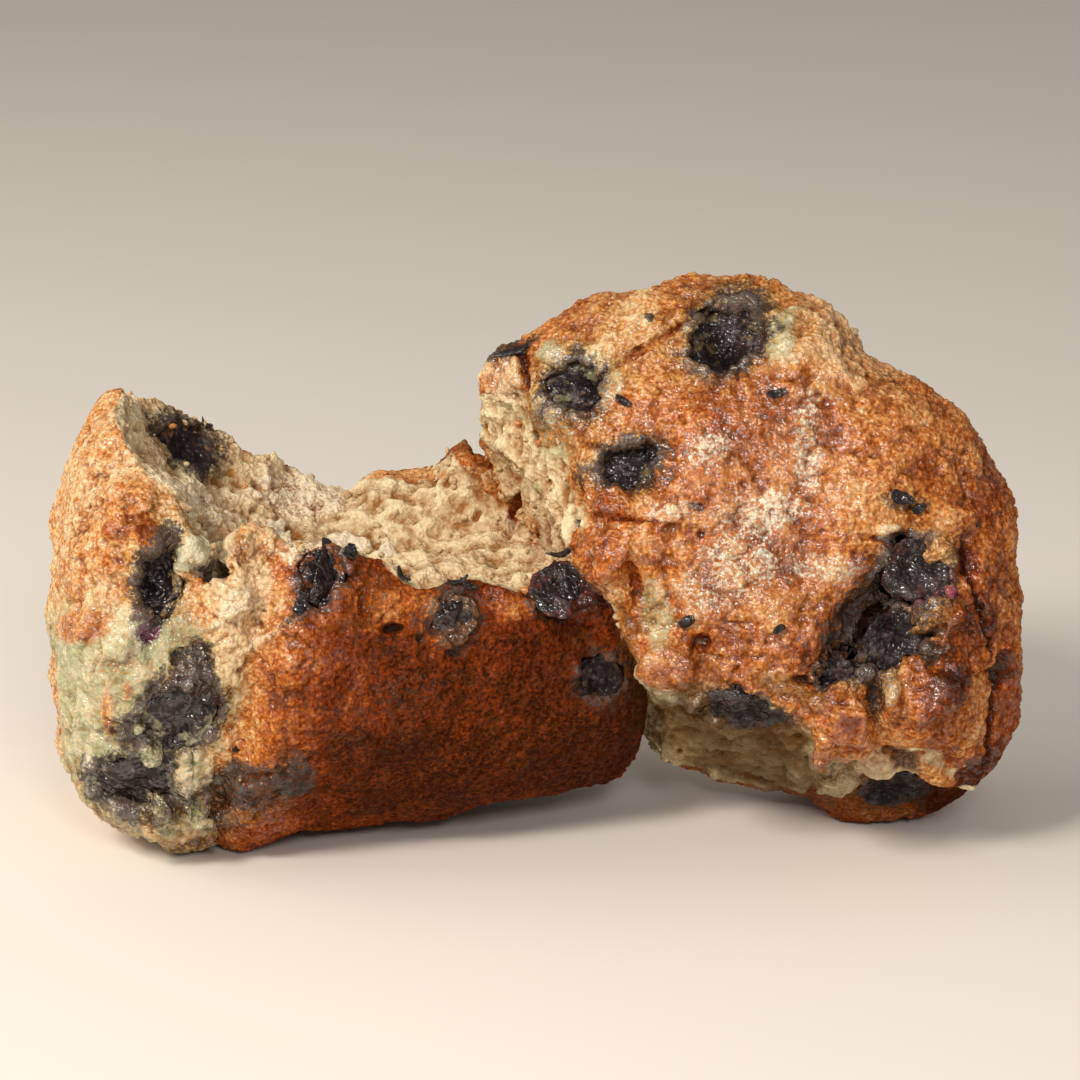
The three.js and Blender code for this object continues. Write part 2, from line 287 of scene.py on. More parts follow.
@dataclass(frozen=True)
class Half:
    """The skin of one half before it was torn, turned round an axis.

    Attributes:
        origin: a point on its axis.
        axis: the way its axis runs, to the middle of its dome.
        skin: its outline, as distances along the axis and radii.
        reach: how far the skin reaches, in shares of the radius, in even steps from the top round.
        reach_from: how far along the axis that unevenness starts.
        bakes: how brown it is, from 0 to 1, at places along the axis.
        lean: how far its rim leans towards the base for each millimetre that it rises.
        lean_stations: where along the axis the lean starts, is full, eases and ends.
    """

    origin: Triple
    axis: Triple
    skin: tuple[Pair, ...]
    reach: tuple[float, ...]
    reach_from: float
    bakes: tuple[Pair, ...]
    lean: float = 0.0
    lean_stations: tuple[float, float, float, float] = (0, 1, 2, 3)

    def _frame(self) -> tuple[np.ndarray, np.ndarray, np.ndarray]:
        """The ways across, along and over its axis."""
        along = unit(np.array(self.axis, float))
        across = unit(np.cross(along, (0, 0, 1)))
        return across, along, np.cross(across, along)

    def place(self, points: np.ndarray) -> tuple[np.ndarray, np.ndarray, np.ndarray]:
        """Where points lie from the half's axis.

        Args:
            points: places in the model's frame.

        Returns:
            Distances along the axis with the lean taken out, radii with the reach taken out, and angles.
        """
        across, along, over = self._frame()
        away = points - CENTRING - np.array(self.origin)
        side, station, height = away @ across, away @ along, away @ over
        start, full, easing, end = self.lean_stations
        lean = self.lean * ease(station, start, full) * (1 - ease(station, easing, end))
        station = station + lean * height
        angle = np.arctan2(side, height) % (2 * math.pi)
        steps = np.array([*self.reach, self.reach[0]])
        reach = np.interp(angle / (2 * math.pi) * len(self.reach), np.arange(len(steps)), steps)
        reach = 1 + (reach - 1) * ease(station, self.reach_from, self.reach_from + 12)
        return station, np.hypot(side, height) / reach, angle

    def under_skin(self, points: np.ndarray) -> tuple[np.ndarray, np.ndarray]:
        """How deep points lie under the skin, and the way out.

        Args:
            points: places in the model's frame.

        Returns:
            Depths, which are negative outside, and unit vectors.
        """
        station, radius, angle = self.place(points)
        corners = np.array(self.skin)
        best = np.full(len(points), np.inf)
        depth = np.zeros(len(points))
        slope = np.zeros((len(points), 2))
        for (s0, r0), (s1, r1) in zip(corners[:-1], corners[1:]):
            run, rise = s1 - s0, r1 - r0
            length = math.hypot(run, rise)
            share = np.clip(((station - s0) * run + (radius - r0) * rise) / length**2, 0, 1)
            gap_s, gap_r = station - s0 - share * run, radius - r0 - share * rise
            gap = np.hypot(gap_s, gap_r)
            closer = gap < best
            best = np.where(closer, gap, best)
            out = np.array([-rise, run]) / length
            depth = np.where(closer, -(gap_s * out[0] + gap_r * out[1]), depth)
            slope[closer] = out
        across, along, over = self._frame()
        round_axis = np.sin(angle)[:, None] * across + np.cos(angle)[:, None] * over
        return depth, unit(slope[:, :1] * along + slope[:, 1:] * round_axis)


RIGHT_TURN = math.radians(9)
RIGHT_LEAN = math.radians(16)

LEFT_HALF = Half(
    origin=(14.5, 6.5, 25.4),
    axis=(-80, -9.5, 2.6),
    skin=(
        (0, 0), (0.3, 9), (1.4, 16), (4.8, 20.2), (9.5, 22.2), (31, 26), (48, 28.4), (52.4, 28.2),
        (55.4, 25.2), (59, 26.4), (67, 27.6), (72.8, 25.6), (77, 20.2), (79.6, 11), (80.3, 0),
    ),
    reach=(1.24, 1.08, 1.0, 1.0, 1.0, 0.98, 1.0, 1.02, 1.14),
    reach_from=50,
    bakes=((0, 0.9), (25, 0.88), (38, 0.84), (46, 0.74), (52, 0.56), (56, 0.38), (60, 0.22), (80, 0.14)),
    lean=0.16,
    lean_stations=(15, 52, 60, 78),
)  # fmt: skip
RIGHT_HALF = Half(
    origin=(26.6, -2, 37.2),
    axis=(
        -math.sin(RIGHT_TURN) * math.cos(RIGHT_LEAN),
        -math.cos(RIGHT_TURN) * math.cos(RIGHT_LEAN),
        math.sin(RIGHT_LEAN),
    ),
    skin=(
        (-34, 0), (-33.6, 20), (-31, 27.5), (-14, 31.5), (-5.5, 33.6), (-3, 33), (1.5, 36.6), (7, 35.4),
        (13, 30), (17.6, 21), (20.2, 10), (20.8, 0),
    ),
    reach=(
        1.03, 1.06, 1.11, 1.16, 1.12, 1, 0.97, 0.97, 0.97, 0.98, 1.06, 1.2, 1.15, 1.05, 0.98, 0.95, 0.91,
        0.97,
    ),
    reach_from=-34,
    bakes=((-34, 0.7), (-10, 0.6), (-4, 0.5), (2, 0.42), (12, 0.38), (20, 0.4)),
)  # fmt: skip
FOOT_PLACE = (46, 0, 22)
FOOT_SIZE = (18, 14, 22.6)
FOOT_RADIUS = 17  # its half width on average, which turns shares of it into millimetres
FOOT_BAKE = 0.72  # how brown its crust is
FOOT_CRUST = (12, 16)  # the heights at which the foot's crust starts to give way to crumb and has done so
FOOT_ODDS = (1.0, 6)  # how much farther off its crust counts as being: everywhere, and where it gives way


# ---- Spots laid out in the front view ----------------------------------------------------------------------


class Tint(Enum):
    """What a spot colours the muffin with. Each is an attribute of the muffin's mesh."""

    BAKE = "bake"  # how brown the crust is; a few spots also raise it as painted shade, and lower it as painted light
    CRUST = "crust"  # crust where it is 1, torn crumb where it is 0
    # pale grains of batter, and painted sheen where the crust catches the light
    PALE = "pale"
    GREEN = "green"  # the grey green that berry juice turns batter to
    JAM = "jam"  # red brown, where juice has boiled
    WINE = "wine"  # bright purple juice
    BERRY = "berry"  # purple black skin and juice
    SHINE = "shine"  # wet and glossy
    PAINTED_SHADE = "damp"  # painted shade, where the muffin lies in shadow under the dome and along shadowed torn edges
    RELIEF = "relief"  # fine relief, from hollow to high


@dataclass(frozen=True)
class Spot:
    """A soft oval on the front of the muffin.

    Attributes:
        centre: its middle, in picture pixels.
        size: its half widths, in picture pixels.
        turn: how far it is turned anticlockwise, in degrees.
        rise: how far it stands out, or lies in where it is negative.
        tints: how much of each tint it adds.
        ragged: how uneven its edge is, as a share of its size.
        soft: how wide its edge is, as a share of its size.
    """

    centre: Pair
    size: Pair
    turn: float = 0.0
    rise: float = 0.0
    tints: dict[Tint, float] = field(default_factory=dict)
    ragged: float = 0.35
    soft: float = 0.35


def stain(centre: Pair, size: Pair, turn: float = 0.0, rise: float = 0.0, **tints: float) -> Spot:
    """A spot, with its tints named by words."""
    return Spot(centre, size, turn, rise, {Tint(name): amount for name, amount in tints.items()})


def hole(centre: Pair, size: Pair, turn: float = 0.0, deep: float = 1.6, **tints: float) -> Spot:
    """A small hole that lies in, darkened by the tints it is given: partly juice and browner crust, partly
    painted shade in the hollow.
    """
    named = {Tint(name): amount for name, amount in tints.items()}
    return Spot(centre, size, turn, -deep, {Tint.SHINE: -0.5, **named}, ragged=0.25, soft=0.4)


LEFT_END = (
    stain((150, 390), (50, 40), bake=0.08),
    stain((95, 560), (60, 90), bake=-0.06),
    stain((130, 410), (16, 16), green=0.3, pale=0.3),
    stain((185, 440), (46, 32), -25, berry=0.75),
    hole((182, 446), (26, 20), -30, deep=2.4, berry=1.0),
    stain((155, 450), (12, 14), 0, 0.5, berry=-0.9, jam=0.55, bake=0.35),
    stain((200, 446), (12, 10), -30, 0.8, berry=0.7),
    stain((128, 512), (26, 30), 0, 0.9, bake=0.22, shine=0.3),
    stain((118, 552), (34, 24), 20, 0.7, bake=0.18),
    stain((150, 535), (13, 16), 0, 0.8, bake=0.42),
    stain((100, 470), (30, 40), bake=-0.04, pale=0.1),
    stain((172, 540), (13, 22), green=0.6, berry=0.5),
    hole((166, 566), (14, 44), -8, deep=1.0, berry=1.0),
    hole((156, 605), (11, 32), -14, deep=1.2, berry=1.0),
    stain((147, 634), (11, 9), berry=0.85, shine=0.3),
    stain((160, 573), (5, 5), 0, 0.9, berry=-1.0, bake=0.5),
    stain((195, 556), (18, 22), 0, 0.9, pale=0.7, green=0.3, crust=-0.6, berry=-0.8),
    hole((214, 531), (15, 7), -38, deep=2.0, bake=0.7, jam=0.3),
    hole((213, 572), (19, 10), deep=2.2, bake=1.0, berry=0.7),
    stain((190, 500), (50, 22), -10, 0.4, pale=0.55, crust=-0.7),
    stain((228, 606), (26, 12), 48, 0.6, bake=0.15, pale=0.2),
    stain((100, 690), (66, 80), green=0.75, pale=0.5, shine=0.8),
    stain((170, 640), (36, 30), green=0.7, pale=0.5, shine=0.8),
    stain((62, 660), (22, 60), green=0.6, pale=0.2, shine=0.4),
    stain((110, 760), (60, 40), green=0.7, pale=0.3, shine=0.8),
    stain((108, 712), (7, 26), 0, 0.3, bake=0.2, pale=-0.7, green=-0.7),
    stain((128, 690), (6, 10), 0, 0.3, bake=0.2, pale=-0.6, green=-0.6),
    hole((181, 657), (8, 8), berry=0.8),
    stain((200, 672), (14, 34), 4, -0.6, berry=0.9, green=0.6, shine=0.7),
    stain((182, 706), (40, 40), -24, berry=0.9, green=0.6, shine=1.0),
    stain((152, 720), (34, 24), 40, berry=0.75, green=0.5, shine=1.0),
    stain((125, 735), (16, 26), 10, berry=0.6, green=0.4, shine=0.8),
    stain((166, 742), (16, 9), -10, 1.0, berry=-0.8, green=0.3, pale=0.4, shine=0.9),
    stain((150, 752), (9, 7), 0, 0.8, berry=-0.7, pale=0.5, shine=0.9),
    stain((137, 729), (4, 5), 0, 0.8, berry=-1.0, bake=0.6),
    stain((128, 782), (44, 30), -12, berry=0.35, green=0.6, pale=0.45, shine=1.0),
    stain((160, 792), (50, 22), -14, berry=0.4, green=0.5, pale=0.3, shine=1.0),
    stain((112, 812), (44, 16), -35, berry=0.25, green=0.6, pale=0.4, shine=1.0),
    stain((240, 590), (34, 40), -20, bake=-0.08, pale=0.15, shine=0.6),
    stain((140, 776), (8, 9), 0, 1.0, berry=-0.9, bake=0.3, pale=0.2),
    stain((196, 766), (16, 22), 0, 1.6, green=0.3, berry=-0.9, pale=0.5, shine=0.5),
    stain((196, 800), (16, 8), 0, 1.0, green=0.3, berry=-0.8, pale=0.4, shine=0.4),
    stain((186, 814), (44, 18), 4, 3.2, green=0.45, berry=-0.4, pale=0.25),
    stain((200, 826), (60, 8), 3, green=0.5, berry=0.4),
    hole((190, 742), (3, 36), deep=1.2, bake=0.5, green=0.4),
    stain((84, 626), (28, 16), 10, 0.5, bake=0.3, green=-0.8, pale=-0.7),
    stain((78, 574), (20, 26), 0, 0.5, bake=0.14, shine=0.5),
    stain((140, 590), (18, 14), 20, 0.5, bake=0.3),
    stain((150, 630), (10, 9), 20, 0.4, wine=0.45, berry=0.3, shine=0.8),
    stain((134, 652), (16, 5), 40, wine=0.3, berry=0.2, shine=0.8),
    stain((100, 430), (26, 40), bake=0.06, shine=0.2),
    stain((160, 590), (30, 50), green=0.3),
)
PANEL = (
    stain((252, 560), (22, 46), -22, 0.9, bake=-0.32, shine=0.8),
    stain((226, 650), (20, 80), 4, 0.9, bake=-0.14, shine=0.6),
    stain((240, 625), (26, 22), 30, 0.7, bake=-0.2, pale=0.1, shine=0.7),
    stain((216, 755), (12, 50), 0, 0.5, bake=-0.08, shine=0.4),
    stain((262, 670), (44, 92), 6, bake=-0.14),
    stain((350, 690), (90, 60), bake=0.07, shine=0.06),
    stain((277, 532), (15, 10), -20, 0.7, pale=0.9, crust=-0.9, green=0.25),
    stain((295, 552), (16, 12), 30, pale=0.55, crust=-0.5, bake=-0.3),
    stain((340, 549), (16, 7), 5, 0.5, pale=1.0, crust=-1.0),
    stain((385, 552), (10, 9), 0, 0.7, pale=1.0, crust=-1.0),
    stain((322, 582), (30, 34), -18, jam=0.3, bake=0.1, shine=0.7),
    stain((345, 547), (30, 8), 4, 1.0, pale=1.0, crust=-1.0),
    stain((351, 562), (7, 13), 0, 0.8, jam=0.9, shine=0.8),
    stain((296, 618), (18, 5), 30, 0.4, berry=0.6, shine=1.0),
    stain((262, 640), (20, 5), 24, 0.5, pale=0.4, shine=1.0),
    stain((375, 600), (30, 30), 0, 0.5, bake=-0.28, pale=0.15),
    hole((364, 607), (4, 16), deep=1.0, bake=0.3),
    hole((407, 578), (4, 9), deep=1.0, berry=0.8),
    hole((394, 629), (10, 4.5), 10, deep=1.8, berry=0.6, bake=0.5),
    hole((421, 638), (4, 4), deep=1.2, berry=0.5, bake=0.5),
    stain((440, 620), (38, 30), 10, berry=0.3, bake=-0.1),
    hole((455, 652), (9, 7), deep=1.0, berry=1.0),
    stain((462, 586), (16, 5), -6, 0.4, berry=0.8),
    stain((570, 592), (38, 24), 6, berry=0.3, jam=0.6, shine=0.6),
    stain((508, 604), (32, 14), -6, 0.3, bake=-0.2, shine=0.3),
    stain((524, 622), (30, 16), -20, bake=-0.1),
    stain((604, 680), (32, 34), berry=0.5, jam=0.25),
    stain((398, 700), (54, 12), 14, berry=0.2),
    stain((248, 786), (60, 24), 4, berry=0.85),
    stain((298, 776), (18, 20), berry=0.8, shine=0.2),
    hole((235, 750), (4, 3.5), deep=1.2, berry=0.8),
    stain((262, 812), (56, 10), 4, green=0.5, bake=-0.1),
    stain((430, 770), (170, 40), 6, bake=0.08),
    stain((585, 740), (60, 60), 30, bake=0.1),
    stain((560, 650), (40, 60), bake=0.06, jam=0.1),
)
JOINT = (
    stain((300, 495), (46, 22), -10, pale=0.6),
    stain((463, 440), (20, 14), 30, 0.8, crust=0.6, jam=0.7, bake=-0.2),
    stain((492, 485), (46, 10), -50, 0.9, crust=0.9, jam=0.25, bake=-0.3),
    hole((514, 512), (5, 17), -12, deep=1.8, bake=0.3, jam=0.5),
    stain((478, 462), (24, 16), -30, 0.3, crust=0.6, bake=-0.35),
    stain((400, 474), (50, 9), 0, 0.3, crust=0.6, bake=-0.6),
    stain((530, 520), (8, 30), 10, 0.3, crust=0.5, bake=-0.5),
    # painted shade along the shadowed torn edge of the right half
    stain((630, 650), (9, 66), 12, crust=0.6, damp=0.5),
    stain((505, 377), (19, 25), 0, 0.5, pale=0.3, bake=-0.16, shine=0.35, crust=0.5),
    hole((524, 372), (4, 24), 6, deep=1.4, bake=0.6, green=0.4),
    stain((505, 408), (30, 8), -30, bake=0.2, crust=-0.3, green=0.3),
    stain((510, 349), (30, 6), 24, berry=0.9),
    hole((536, 441), (3.5, 8), deep=1.0, berry=0.8, green=0.4),
    stain((537, 488), (4, 6), green=0.8),
    stain((540, 540), (12, 36), -8, jam=0.3, bake=0.2, crust=0.3),
)
DOME = (
    stain((690, 310), (90, 50), 20, bake=-0.06),
    stain((620, 330), (50, 46), 30, bake=-0.1, green=0.25, pale=0.1),
    # painted light: paler where the lamps fall weaker on the dome's upper right
    stain((840, 340), (70, 56), -40, bake=-0.24, pale=0.15),
    hole((660, 338), (58, 3.2), 32, deep=1.0, bake=0.3),
    stain((676, 312), (24, 7), 34, 0.4, bake=0.12),
    stain((704, 330), (22, 30), -20, green=0.6, bake=0.1),
    stain((778, 338), (17, 34), -12, 0.4, green=0.4, pale=0.4, bake=-0.1),
    stain((736, 330), (26, 44), -12, green=0.6, berry=0.75),
    stain((740, 292), (34, 14), green=0.4, berry=0.35),
    stain((650, 319), (5, 4), 0, 0.3, berry=0.8),
    stain((570, 386), (46, 44), green=0.5, shine=0.5),
    stain((574, 380), (26, 24), berry=0.7, green=0.5),
    stain((552, 354), (14, 10), 0, 0.9, green=0.2, pale=0.4, shine=0.7),
    stain((605, 395), (12, 24), -40, 0.3, green=0.3, pale=0.3, shine=0.7),
    stain((548, 412), (13, 18), 0, 0.7, green=0.4, pale=0.3, shine=0.6),
    stain((560, 440), (22, 22), green=0.5, pale=0.2),
    stain((630, 462), (42, 20), 24, green=0.5, berry=0.7, shine=0.4),
    stain((650, 484), (34, 10), 24, green=0.4, berry=0.3),
    stain((650, 440), (24, 12), 20, 0.8, bake=-0.08),
    stain((612, 503), (21, 17), 0, 1.2, bake=0.16, shine=0.5),
    stain((604, 553), (25, 27), 0, 1.5, bake=0.2, shine=0.7),
    stain((648, 545), (22, 24), 0, 0.7, bake=0.06, shine=0.7),
    hole((632, 520), (28, 3.5), -6, deep=1.1, bake=0.3),
    hole((636, 585), (5, 24), 20, deep=1.1, bake=0.3),
    hole((577, 522), (4.5, 4.5), deep=1.0, berry=0.8),
    hole((697, 507), (7, 3.5), -20, deep=1.4, bake=0.8, berry=0.4),
    hole((700, 535), (3.5, 4.5), deep=1.0, bake=0.5),
    stain((685, 515), (26, 14), 0, 0.6, bake=-0.14),
    # painted sheen: pale grains where the wet middle of the dome catches the light
    stain((765, 480), (90, 110), -24, pale=0.16, shine=1.0, bake=0.1),
    stain((808, 445), (14, 50), pale=0.42, shine=1.0),
    stain((763, 510), (44, 20), 12, pale=0.42, shine=1.0),
    stain((712, 449), (22, 14), 20, pale=0.35, shine=1.0),
    stain((672, 510), (24, 12), 10, pale=0.35, shine=1.0),
    stain((830, 568), (40, 14), -10, pale=0.3, shine=1.0),
    stain((725, 575), (60, 30), 20, pale=0.24, shine=1.0),
    stain((828, 433), (5, 4), 0, 0.5, bake=-0.2),
    stain((790, 545), (60, 70), bake=0.02, shine=0.9),
    stain((680, 440), (60, 50), bake=0.1, shine=0.4),
    stain((740, 400), (40, 40), bake=0.08, shine=0.4),
    stain((840, 400), (50, 50), bake=0.06),
    stain((760, 600), (90, 50), bake=0.08, green=0.2, pale=0.08, shine=0.8),
    stain((655, 615), (17, 32), 8, green=0.8, pale=0.35, bake=-0.1, shine=0.8),
    hole((700, 642), (10, 7), -20, deep=1.4, bake=0.5),
    stain((672, 666), (27, 22), 0, 1.8, bake=0.1, jam=0.2, pale=0.15, shine=1.0),
    stain((830, 436), (5, 4), 0, 0.7, bake=-0.1),
    stain((760, 660), (60, 26), -8, bake=0.06, shine=0.6),
    stain((910, 420), (70, 60), bake=0.02),
    stain((905, 502), (26, 10), -8, green=0.4, berry=0.55),
    stain((890, 532), (14, 10), -10, 1.0, pale=0.5, bake=-0.2),
    stain((960, 520), (18, 12), 10, 0.7, bake=-0.12),
    hole((898, 540), (26, 4), -4, deep=1.4, bake=0.7),
)
BERRY_HOLLOW = (
    stain((862, 590), (26, 60), -34, bake=0.2, berry=0.3, green=0.3),
    # berry juice, and painted shadow under the crust's overhanging edge along the hollow's dark band
    stain((885, 618), (84, 40), 46, -0.9, berry=1.0, shine=-0.4),
    stain((850, 664), (30, 20), 20, -1.2, berry=1.0, shine=-0.4),
    stain((812, 640), (30, 26), bake=0.1, berry=0.1),
    stain((905, 560), (26, 28), 20, berry=1.0, shine=0.8),
    stain((880, 610), (20, 40), -44, -1.0, berry=1.0),
    stain((910, 624), (34, 15), 26, 2.2, berry=-0.3, green=0.3, shine=0.6),
    stain((942, 616), (16, 24), -10, 1.6, berry=-0.4, green=0.4, pale=0.1, shine=0.4),
    stain((868, 664), (30, 9), 34, 1.4, berry=0.9, green=0.4, shine=1.0),
    stain((925, 656), (24, 10), 24, 1.2, berry=0.5, green=0.3, bake=0.1),
    hole((905, 644), (34, 4), 20, deep=1.4, berry=1.0),
    hole((876, 700), (7, 24), 4, deep=1.8, berry=1.0),
    stain((935, 554), (15, 15), 0, 2.4, berry=-1.0, bake=-0.12, shine=0.7),
    stain((936, 575), (18, 8), -10, 1.0, jam=0.5, wine=0.3, berry=0.7, shine=0.9),
    stain((928, 597), (18, 5), 30, 0.8, wine=0.55, berry=0.6, shine=1.0),
    stain((951, 591), (6, 5), 20, 1.4, wine=1.0, berry=-0.6, shine=1.0),
    stain((968, 563), (12, 13), 0, -1.2, bake=0.34, jam=0.3, berry=-0.6, shine=0.6),
    stain((958, 540), (22, 16), berry=0.2, green=0.3, bake=0.1),
    stain((962, 645), (24, 56), -16, 1.0, berry=-0.3, bake=0.34, green=0.35),
    stain((917, 694), (30, 26), 0, 2.0, bake=0.08, shine=0.8, berry=-0.9),
    stain((888, 686), (9, 20), 0, 1.2, shine=1.0, pale=0.3, berry=-0.2, green=0.4),
    stain((945, 705), (26, 44), -8, 0.6, bake=0.2, green=0.2, berry=-0.6),
    stain((834, 706), (34, 15), -4, 1.8, bake=0.06, shine=1.0, crust=0.8, berry=-0.8),
    stain((846, 730), (26, 20), 0, 2.4, bake=0.06, shine=1.0, crust=0.9, berry=-0.5),
    stain((824, 750), (10, 16), 0, 2.0, bake=0.02, shine=0.8, crust=0.9),
    stain((846, 718), (8, 5), 0, -0.8, bake=0.3, jam=0.4),
    hole((806, 682), (14, 4), -10, bake=0.8),
)
UNDERSIDE = (
    stain((690, 705), (44, 9), -24, 0.5, green=0.5, pale=0.4, crust=-0.9),
    stain((695, 703), (8, 10), 0, 1.4, pale=0.5, crust=-0.8),
    hole((735, 694), (7, 7), deep=1.8, berry=0.9),
    stain((748, 706), (30, 9), -20, berry=0.75, jam=0.2),
    stain((715, 713), (46, 6), -12, berry=0.8),
    stain((780, 735), (28, 22), -45, jam=0.5, berry=0.3),
    # painted shade on the crumb under the dome, which lies in shadow
    stain((740, 745), (100, 40), -20, green=0.3, crust=-0.6, damp=1.0),
    stain((700, 720), (60, 30), -30, damp=0.9),
    stain((850, 785), (70, 30), -20, damp=0.45),
    stain((790, 690), (40, 12), -24, green=0.7, damp=0.5, crust=-0.3),
    stain((835, 778), (18, 14), 0, 2.0, pale=0.5, crust=-0.9),
    stain((800, 775), (12, 14), 0, 1.4, pale=0.3, crust=-0.9),
    hole((848, 765), (7, 10), deep=1.4, bake=0.4, crust=0.3),
    stain((905, 757), (16, 13), -20, berry=0.6, jam=0.5),
    hole((905, 785), (30, 13), -14, deep=2.6, berry=0.6, bake=0.6),
    stain((935, 770), (24, 8), -28, 1.2, bake=-0.25, crust=0.8, pale=0.1),
    stain((880, 760), (16, 12), 0, 0.8, crust=-0.8, pale=0.1),
)
SIDE_STRIP = (
    hole((975, 600), (3.5, 60), 10, bake=0.5),
    hole((997, 672), (6, 18), 4, deep=2.2, bake=1.0, berry=0.5),
    stain((990, 640), (12, 42), 12, 1.0, bake=0.1),
    stain((1004, 668), (10, 22), 14, 1.2, bake=0.12),
    stain((1006, 720), (14, 60), -6, bake=0.18, jam=0.15),
    hole((990, 725), (3.5, 44), -6, deep=1.2, bake=0.5),
    stain((980, 560), (30, 90), bake=0.12),
    stain((985, 780), (30, 40), -30, bake=0.3),
    stain((1004, 600), (24, 110), bake=0.06),
    hole((981, 524), (4, 4), deep=0.8, berry=0.6),
    stain((955, 790), (40, 20), 30, bake=0.3),
)
SPOTS = (*LEFT_END, *PANEL, *JOINT, *DOME, *BERRY_HOLLOW, *UNDERSIDE, *SIDE_STRIP)


# ---- The muffin --------------------------------------------------------------------------------------------


@dataclass
class MuffinBody:
    """The crust and the torn crumb of both halves.

    Attributes:
        node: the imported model's node that it stands for.
        smoothing: how many times the fine mesh is smoothed, which rounds off the model's facets.
        crust_depth: how far in from the skin the crumb is baked brown.
        front_room: how far the relief may stand out before the model's front.
        cuts: where along X the muffin is parted into pieces that a file can hold.
        names: of those pieces, from left to right, without muffin_ before them.
        resting: up to what height a point lies on the floor and stays near it.
        turned_away: how much depth it counts as where a face is square to the skin.
        full_relief: the fine relief at which its tint is full.
        spot_reach: how far in depth a spot reaches, and how much more for each millimetre of its size.
    """

    node: str = "muffin"
    smoothing: int = 14
    crust_depth: float = 1.5
    front_room: float = 1.4
    cuts: tuple[float, ...] = (-37.0, 0.5, 32.0)
    names: tuple[str, ...] = ("left_dome", "left_base", "right_inner", "right_outer")
    resting: float = 0.25
    turned_away: float = 6
    full_relief: float = 0.8
    spot_reach: Pair = (6, 1.3)
    points: np.ndarray = field(init=False)
    normals: np.ndarray = field(init=False)
    front: float = field(init=False)
    tints: dict[Tint, np.ndarray] = field(init=False)

    def build(self, finish: bpy.types.Material, berries: list[Berry]) -> None:
        """Makes its pieces.

        Args:
            finish: their material.
            berries: the berries that lie in it, which stain it.
        """
        mesh = self._fine_mesh()
        self._read(mesh)
        self.front = self.points[:, 1].min()
        self._bake()
        self._stain_round(berries)
        self._move(mesh, self._lay_spots())
        fine = self._fine_relief(berries)
        self.tints[Tint.RELIEF] = np.clip(fine / self.full_relief, -1, 1)
        self._move(mesh, fine)
        for tint, now in self.tints.items():
            lowest = -1 if tint is Tint.RELIEF else 0
            write_tints(mesh, {tint.value: np.clip(now, lowest, 1)})
        mesh.materials.append(finish)
        self._part(mesh)

    def _fine_mesh(self) -> bpy.types.Mesh:
        """A fine, even mesh of the node, with its facets rounded off.

        Returns:
            A closed mesh of small squares.
        """
        loose = bmesh.new()
        loose.from_mesh(bpy.data.objects[self.node].data)
        bmesh.ops.remove_doubles(loose, verts=loose.verts, dist=1e-3 * MM)
        mesh = bpy.data.meshes.new("fine")
        loose.to_mesh(mesh)
        loose.free()
        rough = linked("fine", mesh)
        remesh = rough.modifiers.new("remesh", "REMESH")
        remesh.mode = "VOXEL"
        remesh.voxel_size = VOXEL * MM
        smooth = rough.modifiers.new("smooth", "SMOOTH")
        smooth.factor = 0.5
        smooth.iterations = self.smoothing
        graph = bpy.context.evaluated_depsgraph_get()
        fine = bpy.data.meshes.new_from_object(rough.evaluated_get(graph))
        bpy.data.objects.remove(rough)
        return fine

    def _read(self, mesh: bpy.types.Mesh) -> None:
        """Reads the mesh's points and normals."""
        self.points = triples(mesh.vertices, "co") / MM
        self.normals = triples(mesh.vertex_normals, "vector")

    def _move(self, mesh: bpy.types.Mesh, heights: np.ndarray) -> None:
        """Moves the points along their normals, but never below the floor or far before the model's front.

        Args:
            mesh: the mesh to move.
            heights: how far out each point goes.
        """
        resting = self.points[:, 2] < self.resting
        self.points = self.points + self.normals * heights[:, None]
        self.points[:, 2] = np.where(resting, np.clip(self.points[:, 2], 0, self.resting), self.points[:, 2])
        self.points[:, 2] = np.maximum(self.points[:, 2], 0)
        over = np.maximum(self.front - self.points[:, 1], 0)
        self.points[:, 1] += over - self.front_room * (1 - np.exp(-over / self.front_room))
        mesh.vertices.foreach_set("co", (self.points * MM).astype(np.float32).ravel())
        mesh.update()
        self._read(mesh)

    def _bake(self) -> None:
        """Works out where the crust is and how brown it is baked."""
        points, normals = self.points, self.normals
        uneven = Grain(11).waves(points, 3.2) * 0.5 + Grain(12).waves(points, 1.3) * 0.25
        marks = []
        bakes = []
        for half in (LEFT_HALF, RIGHT_HALF):
            depth, outward = half.under_skin(points)
            facing = np.einsum("ij,ij->i", normals, outward)
            marks.append(np.abs(depth) + self.turned_away * (1 - facing))
            station, _, _ = half.place(points)
            bakes.append(np.interp(station, *zip(*half.bakes)))
        away = (points - CENTRING - np.array(FOOT_PLACE)) / np.array(FOOT_SIZE)
        facing = np.einsum("ij,ij->i", normals, unit(away / np.array(FOOT_SIZE)))
        foot = np.abs(np.linalg.norm(away, axis=1) - 1) * FOOT_RADIUS + self.turned_away * (1 - facing)
        marks.append(foot + FOOT_ODDS[0] + FOOT_ODDS[1] * ease(points[:, 2], *FOOT_CRUST))
        bakes.append(np.full(len(points), FOOT_BAKE))
        marks = np.array(marks)
        nearest = np.argmin(marks, axis=0)
        mark = np.min(marks, axis=0) + 1.3 * uneven
        crust = 1 - ease(mark, self.crust_depth + 1.2, self.crust_depth + 2.4)
        bake = np.choose(nearest, bakes)
        wide = Grain(13).waves(points, 14) * 0.08 + Grain(14).waves(points, 5) * 0.1
        self.tints = {tint: np.zeros(len(points), np.float32) for tint in Tint}
        self.tints[Tint.CRUST] = crust
        self.tints[Tint.BAKE] = bake + wide + 0.1 * uneven
        dry = ease(self.tints[Tint.BAKE], 0.55, 0.8)
        self.tints[Tint.SHINE] = 0.03 + crust * (1 - 0.95 * dry) * (0.4 + 0.25 * Grain(15).waves(points, 9))

